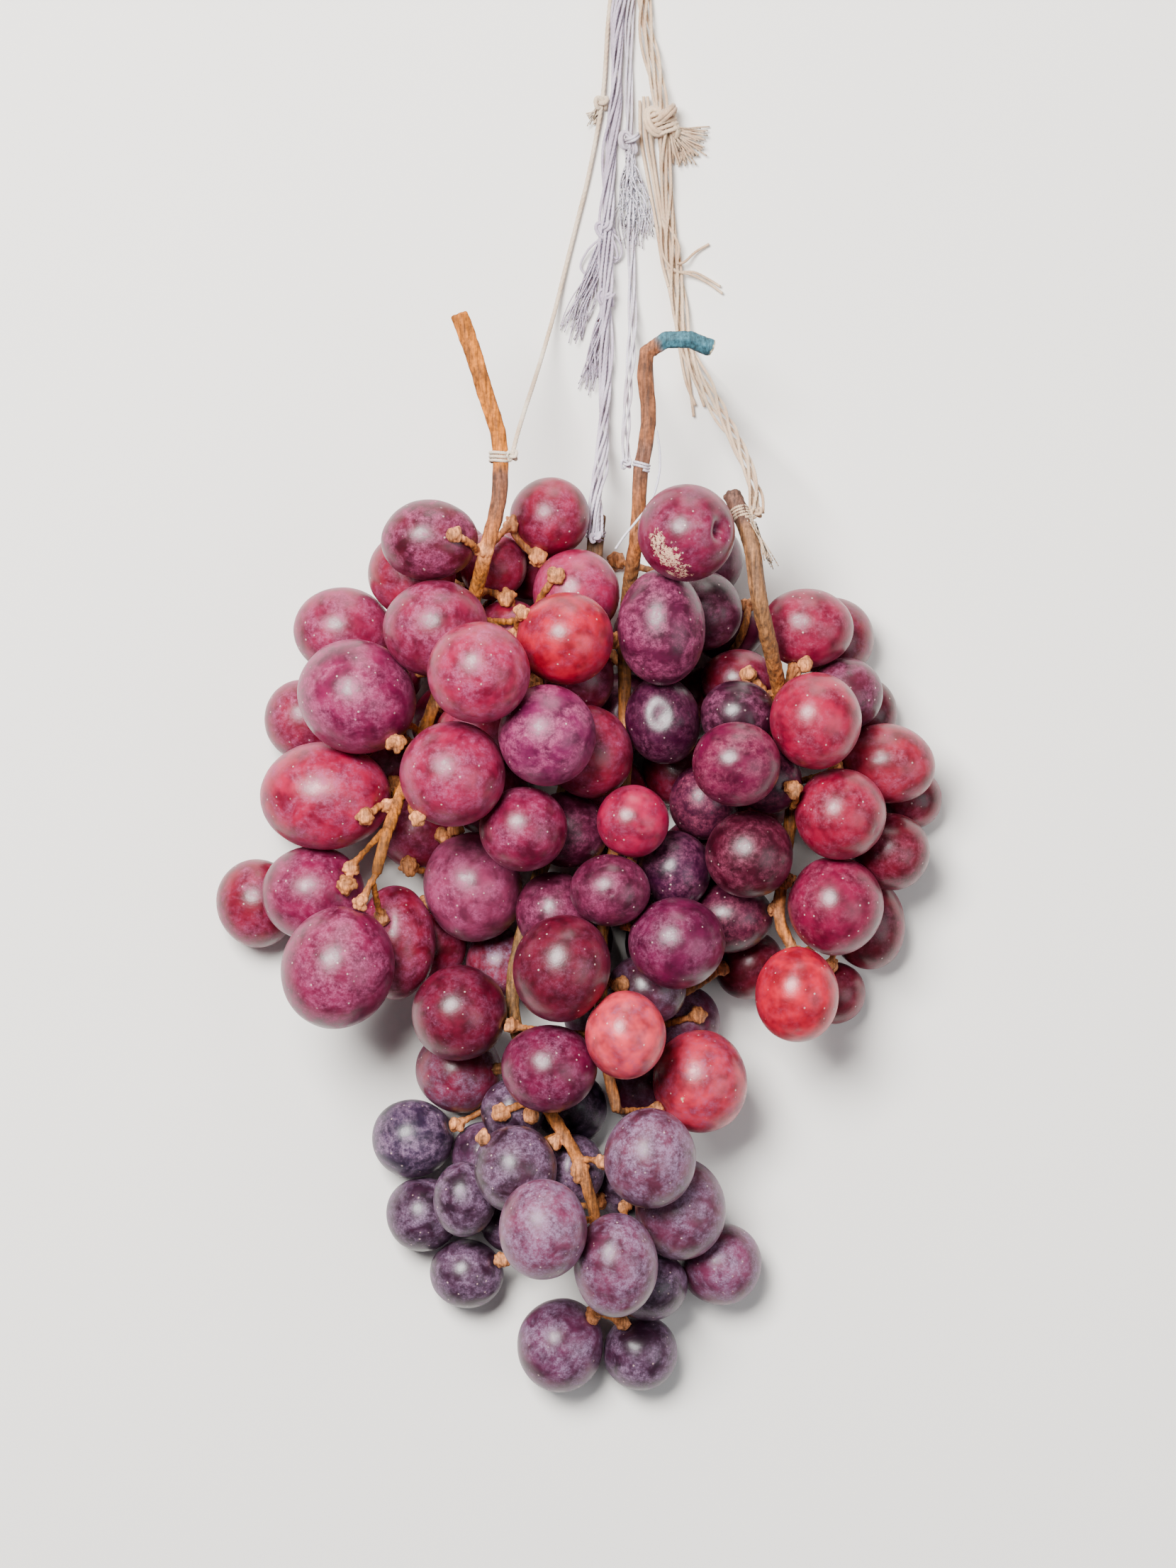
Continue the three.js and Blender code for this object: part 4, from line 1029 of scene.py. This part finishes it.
small_ball, small_faces = unit_ball(2)
stem_objects = {}
wart_places = {name: [] for name in BUNCHES}
for name in BUNCHES:
    points, triangles = node_arrays(name + "_stem")
    parts = [(points, [tuple(t) for t in triangles])]
    for berry in berries:
        if berry["bunch"] == name:
            outward = berry["tip"] - berry["centre"]
            outward /= np.linalg.norm(outward)
            pad = berry["tip"] + outward * PAD_RISE
            parts += warts(pad, PAD_WIDTH, outward, BERRY_WARTS)
            wart_places[name].append(pad)
    for line, width in bare_stalks[name]:
        parts.append(strand(round_route(line, 0.6 * MM), STALK_RADIUS, 8, 0.05))
        parts += warts(line[-1], width * 0.9, np.array((0, 0, 1.0)), STALK_WARTS)
        wart_places[name].append(line[-1])
    stem = make_object(name + "_stem_bark", *join_parts(parts))
    remesh = stem.modifiers.new("one skin", "REMESH")
    remesh.mode = "VOXEL"
    remesh.voxel_size = VOXEL
    soften = stem.modifiers.new("soften", "SMOOTH")
    soften.iterations = 1
    applied(stem)
    stem.data.polygons.foreach_set("use_smooth", [True] * len(stem.data.polygons))
    at = read_values(stem.data.vertices, "co").astype(float)
    normals = read_values(stem.data.vertices, "normal")
    groove = np.array([noise.noise(Vector(p)) for p in at / MM / GROOVE_SIZE])
    at += normals * (THICKEN + GROOVE * groove)[:, None]
    stem.data.vertices.foreach_set("co", at.astype(np.float32).ravel())
    stem_objects[name] = stem
    print(name, "stem points", len(at))

# %% Colour the stems by place
HOOK = placed([(35, 152, 44), (30, 154, 45), (24, 154, 45)])
HOOK_RADIUS, CUT_RADIUS = 4.2 * MM, 2.9 * MM
TIE_BLEND, BUNCH_BLEND, HOOK_BLEND = 3 * MM, 10 * MM, 1.5 * MM
PAD_RADIUS, PAD_FADE = 1.8 * MM, 1.2 * MM
STALK_REACH, STALK_FADE, STALK_SHARE = 5 * MM, 9 * MM, 0.6
# Inside the bunch the stem's own brown is darkened as painted shade of the berries that cover it.
STEM_SHADES = {  # above the tie, just below it, inside the bunch
    "left": ("#a65c08", "#684030", "#7c4c10"),
    "centre": ("#7d4a2c", "#5f4034", "#5a3d22"),
    "right": ("#5d3d31", "#7d5535", "#6b4726"),
    "lower": ("#6b4a33", "#5f4029", "#6f4b24"),
}
WOOD_LEVELS = {"left": (121, 101), "centre": (128, 100), "right": (107, 88), "lower": (104, 80)}
for name, stem in stem_objects.items():
    at = read_values(stem.data.vertices, "co").astype(float)
    above, below, inside_with_painted_shade = [linear(c) for c in STEM_SHADES[name]]
    top, bottom = [placed([(0, level, 0)])[0][1] for level in WOOD_LEVELS[name]]
    upper = np.clip((at[:, 1] - top) / TIE_BLEND + 0.5, 0, 1)[:, None]
    lower = np.clip((at[:, 1] - bottom) / BUNCH_BLEND + 0.5, 0, 1)[:, None]
    # Within the bunch the stem takes the inside colour, its own brown darkened as painted shade.
    shade = blend(blend(inside_with_painted_shade, below, lower), above, upper)
    near_wart = nearest(at, wart_places[name])
    warty = np.exp(-np.maximum(near_wart - PAD_RADIUS, 0) / PAD_FADE)[:, None]
    thin = STALK_SHARE * np.exp(-np.maximum(near_wart - STALK_REACH, 0) / STALK_FADE)[:, None]
    shade = blend(blend(shade, linear("#a45810"), thin), linear("#cc8454"), warty)
    if name == "centre":
        # The hook's teal-grey is painted light: the tint of coloured light falling on the stem
        # there, not the wood's own colour.
        from_hook = nearest(at, round_route(HOOK, HOOK_BLEND))
        painted_teal_light = np.clip((HOOK_RADIUS - from_hook) / HOOK_BLEND, 0, 1)[:, None]
        shade = blend(shade, linear("#2f5a66"), painted_teal_light)
        cut = np.linalg.norm(at - HOOK[0], axis=1)[:, None] < CUT_RADIUS
        face = (at - HOOK[0]) @ ((HOOK[0] - HOOK[1]) / np.linalg.norm(HOOK[0] - HOOK[1]))
        shade = np.where(cut & (face[:, None] > -0.25 * MM), linear("#d9c7a6"), shade)
    set_colour(stem, "wood", np.hstack([shade, np.ones((len(at), 1))]))
print("stems coloured")

# %% Dry grape wood
FIBRE_WIDTH = 0.7


def grape_wood(name):
    """Dry woody stem: matt, streaked along its length and paler on its raised fibres."""
    material, tree, shader = new_material(name, {
        "Roughness": 0.72, "IOR": 1.45, "Subsurface Weight": 0.05,
        "Subsurface Scale": 1.0 * MM, "Subsurface Radius": (1.0, 0.6, 0.3)})
    colour = add(tree, "Attribute", out="Color", attribute_name="wood")
    fibres = pattern(tree, FIBRE_WIDTH, 4, 0.65, 0.3, (1, 9, 1.2))
    for layer, levels in ((fibres, (0.36, 0.64, 0.42, 1.40)),
                          (pattern(tree, 4.0, 3, 0.6), (0.35, 0.65, 0.62, 1.28)),
                          (pattern(tree, 0.9, 3, 0.6), (0.35, 0.65, 0.72, 1.25))):
        level = add(tree, "MapRange", (layer, *levels))
        colour = add(tree, "VectorMath", {0: colour, 3: level}, operation="SCALE")
    tree.links.new(colour, shader.inputs["Base Color"])
    height = add(tree, "Math", (pattern(tree, 0.5, 3, 0.7), 0.5, fibres),
                 operation="MULTIPLY_ADD")
    bump = add(tree, "Bump", {"Strength": 0.5, "Distance": 0.3 * MM, "Height": height})
    tree.links.new(bump, shader.inputs["Normal"])
    return material


wood = grape_wood("dry_grape_wood")
for name, stem in stem_objects.items():
    stem.data.materials.append(wood)
    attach(stem, "root")
    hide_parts(name + "_stem")
print("wood", wood.name)

# %% [markdown]
# ## Spun cotton
# The strings are plain spun cotton, bought in slightly different whites. Loose fibres scatter
# the light, so cotton has no gloss but a soft pale sheen at its edges. The plies are real
# shape already; the material adds finer fibres, about 0.2 mm wide, and the uneven tone of string
# that has been handled.

# %% Cotton
FIBRE = 0.22  # drawn ten times coarser than a real cotton fibre so that it shows
HANDLED_PATCH = 14.0


def spun_cotton(name, clean, handled):
    material, tree, shader = new_material(name, {
        "Roughness": 0.88, "IOR": 1.47, "Sheen Weight": 0.35, "Sheen Roughness": 0.5,
        "Subsurface Weight": 0.08, "Subsurface Scale": 0.6 * MM})
    worn = add(tree, "MapRange", (pattern(tree, HANDLED_PATCH, 3, 0.6), 0.38, 0.62))
    colour = add(tree, "Mix", {0: worn, 6: rgba(clean), 7: rgba(handled)},
                 out=2, data_type="RGBA")
    fibres = pattern(tree, FIBRE, 3, 0.7, 0.2, (1, 4, 1))
    level = add(tree, "MapRange", (fibres, 0.3, 0.7, 0.66, 1.12))
    colour = add(tree, "VectorMath", {0: colour, 3: level}, operation="SCALE")
    tree.links.new(colour, shader.inputs["Base Color"])
    bump = add(tree, "Bump", {"Strength": 0.5, "Distance": 0.12 * MM, "Height": fibres})
    tree.links.new(bump, shader.inputs["Normal"])
    return material


cottons = {
    "string_left": spun_cotton("cream_spun_cotton", "#e8d8c2", "#cbb093"),
    "string_lower": spun_cotton("lilac_spun_cotton", "#d6cada", "#b09fb2"),
    "string_centre": spun_cotton("grey_spun_cotton", "#e0dae6", "#c0b2bd"),
    "string_right": spun_cotton("beige_spun_cotton", "#e0c4a4", "#bd9877"),
    "loose_thread": spun_cotton("white_spun_cotton", "#ece9f2", "#d4cfdd"),
}
for name, cord in cords.items():
    for piece in [cord, *cord_pieces.get(name, [])]:
        piece.data.materials.append(cottons[name])
        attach(piece, "root")
    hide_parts(name)
gathering_knot.data.materials.append(cottons["string_right"])
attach(gathering_knot, "root")
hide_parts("gathering_knot")
print("cottons", [m.name for m in cottons.values()])

# %% [markdown]
# ## Free cords
# Each string leaves the object at its tie, runs along the surface and ends in the gathering knot.

for name, string in STRINGS.items():
    line = string["line"]
print("cords declared", len(cords))

# %% [markdown]
# ## Table and light
# A plain pale table lets the fruit carry the colour. One large soft light from the upper left
# makes the broad highlights, a weaker one from the right opens the shadows, and a low one from
# the stems' side shines through the edges of the berries.

# %% Table
TABLE_HALF = 3.0
TABLE_DROP = 0.0005  # keeps the pressed berries clear of the table
table = make_object("table", [(-TABLE_HALF, -TABLE_HALF, -TABLE_DROP),
                              (TABLE_HALF, -TABLE_HALF, -TABLE_DROP),
                              (TABLE_HALF, TABLE_HALF, -TABLE_DROP),
                              (-TABLE_HALF, TABLE_HALF, -TABLE_DROP)], [(0, 1, 2, 3)], False)
plaster, plaster_tree, plaster_shader = new_material("matt_plaster", {"Roughness": 0.8})
plaster_shader.inputs["Base Color"].default_value = rgba("#ece9e4")
table.data.materials.append(plaster)
print("table", round(2 * TABLE_HALF, 1), "m wide")

# %% Lights


def soft_light(name, place, size, power, colour):
    light = bpy.data.lights.new(name, "AREA")
    light.size = size
    light.energy = power
    light.color = colour
    lamp = bpy.data.objects.new(name, light)
    bpy.context.collection.objects.link(lamp)
    lamp.location = place
    lamp.rotation_euler = (Vector((0, 0, 0.03)) - Vector(place)).to_track_quat("-Z", "Y").to_euler()


soft_light("key", (-0.32, 0.40, 1.1), 0.48, 46, (1.0, 0.98, 0.96))
soft_light("fill", (0.9, -0.2, 0.9), 0.9, 7, (0.93, 0.96, 1.0))
soft_light("edge", (0.1, 1.2, 0.35), 0.6, 8, (1.0, 0.95, 0.9))
world = bpy.data.worlds.new("room")
world.use_nodes = True
bpy.context.scene.world = world
world.node_tree.nodes["Background"].inputs["Color"].default_value = (0.92, 0.95, 1.0, 1)
world.node_tree.nodes["Background"].inputs["Strength"].default_value = 0.13
print("lights", len(bpy.data.lights))
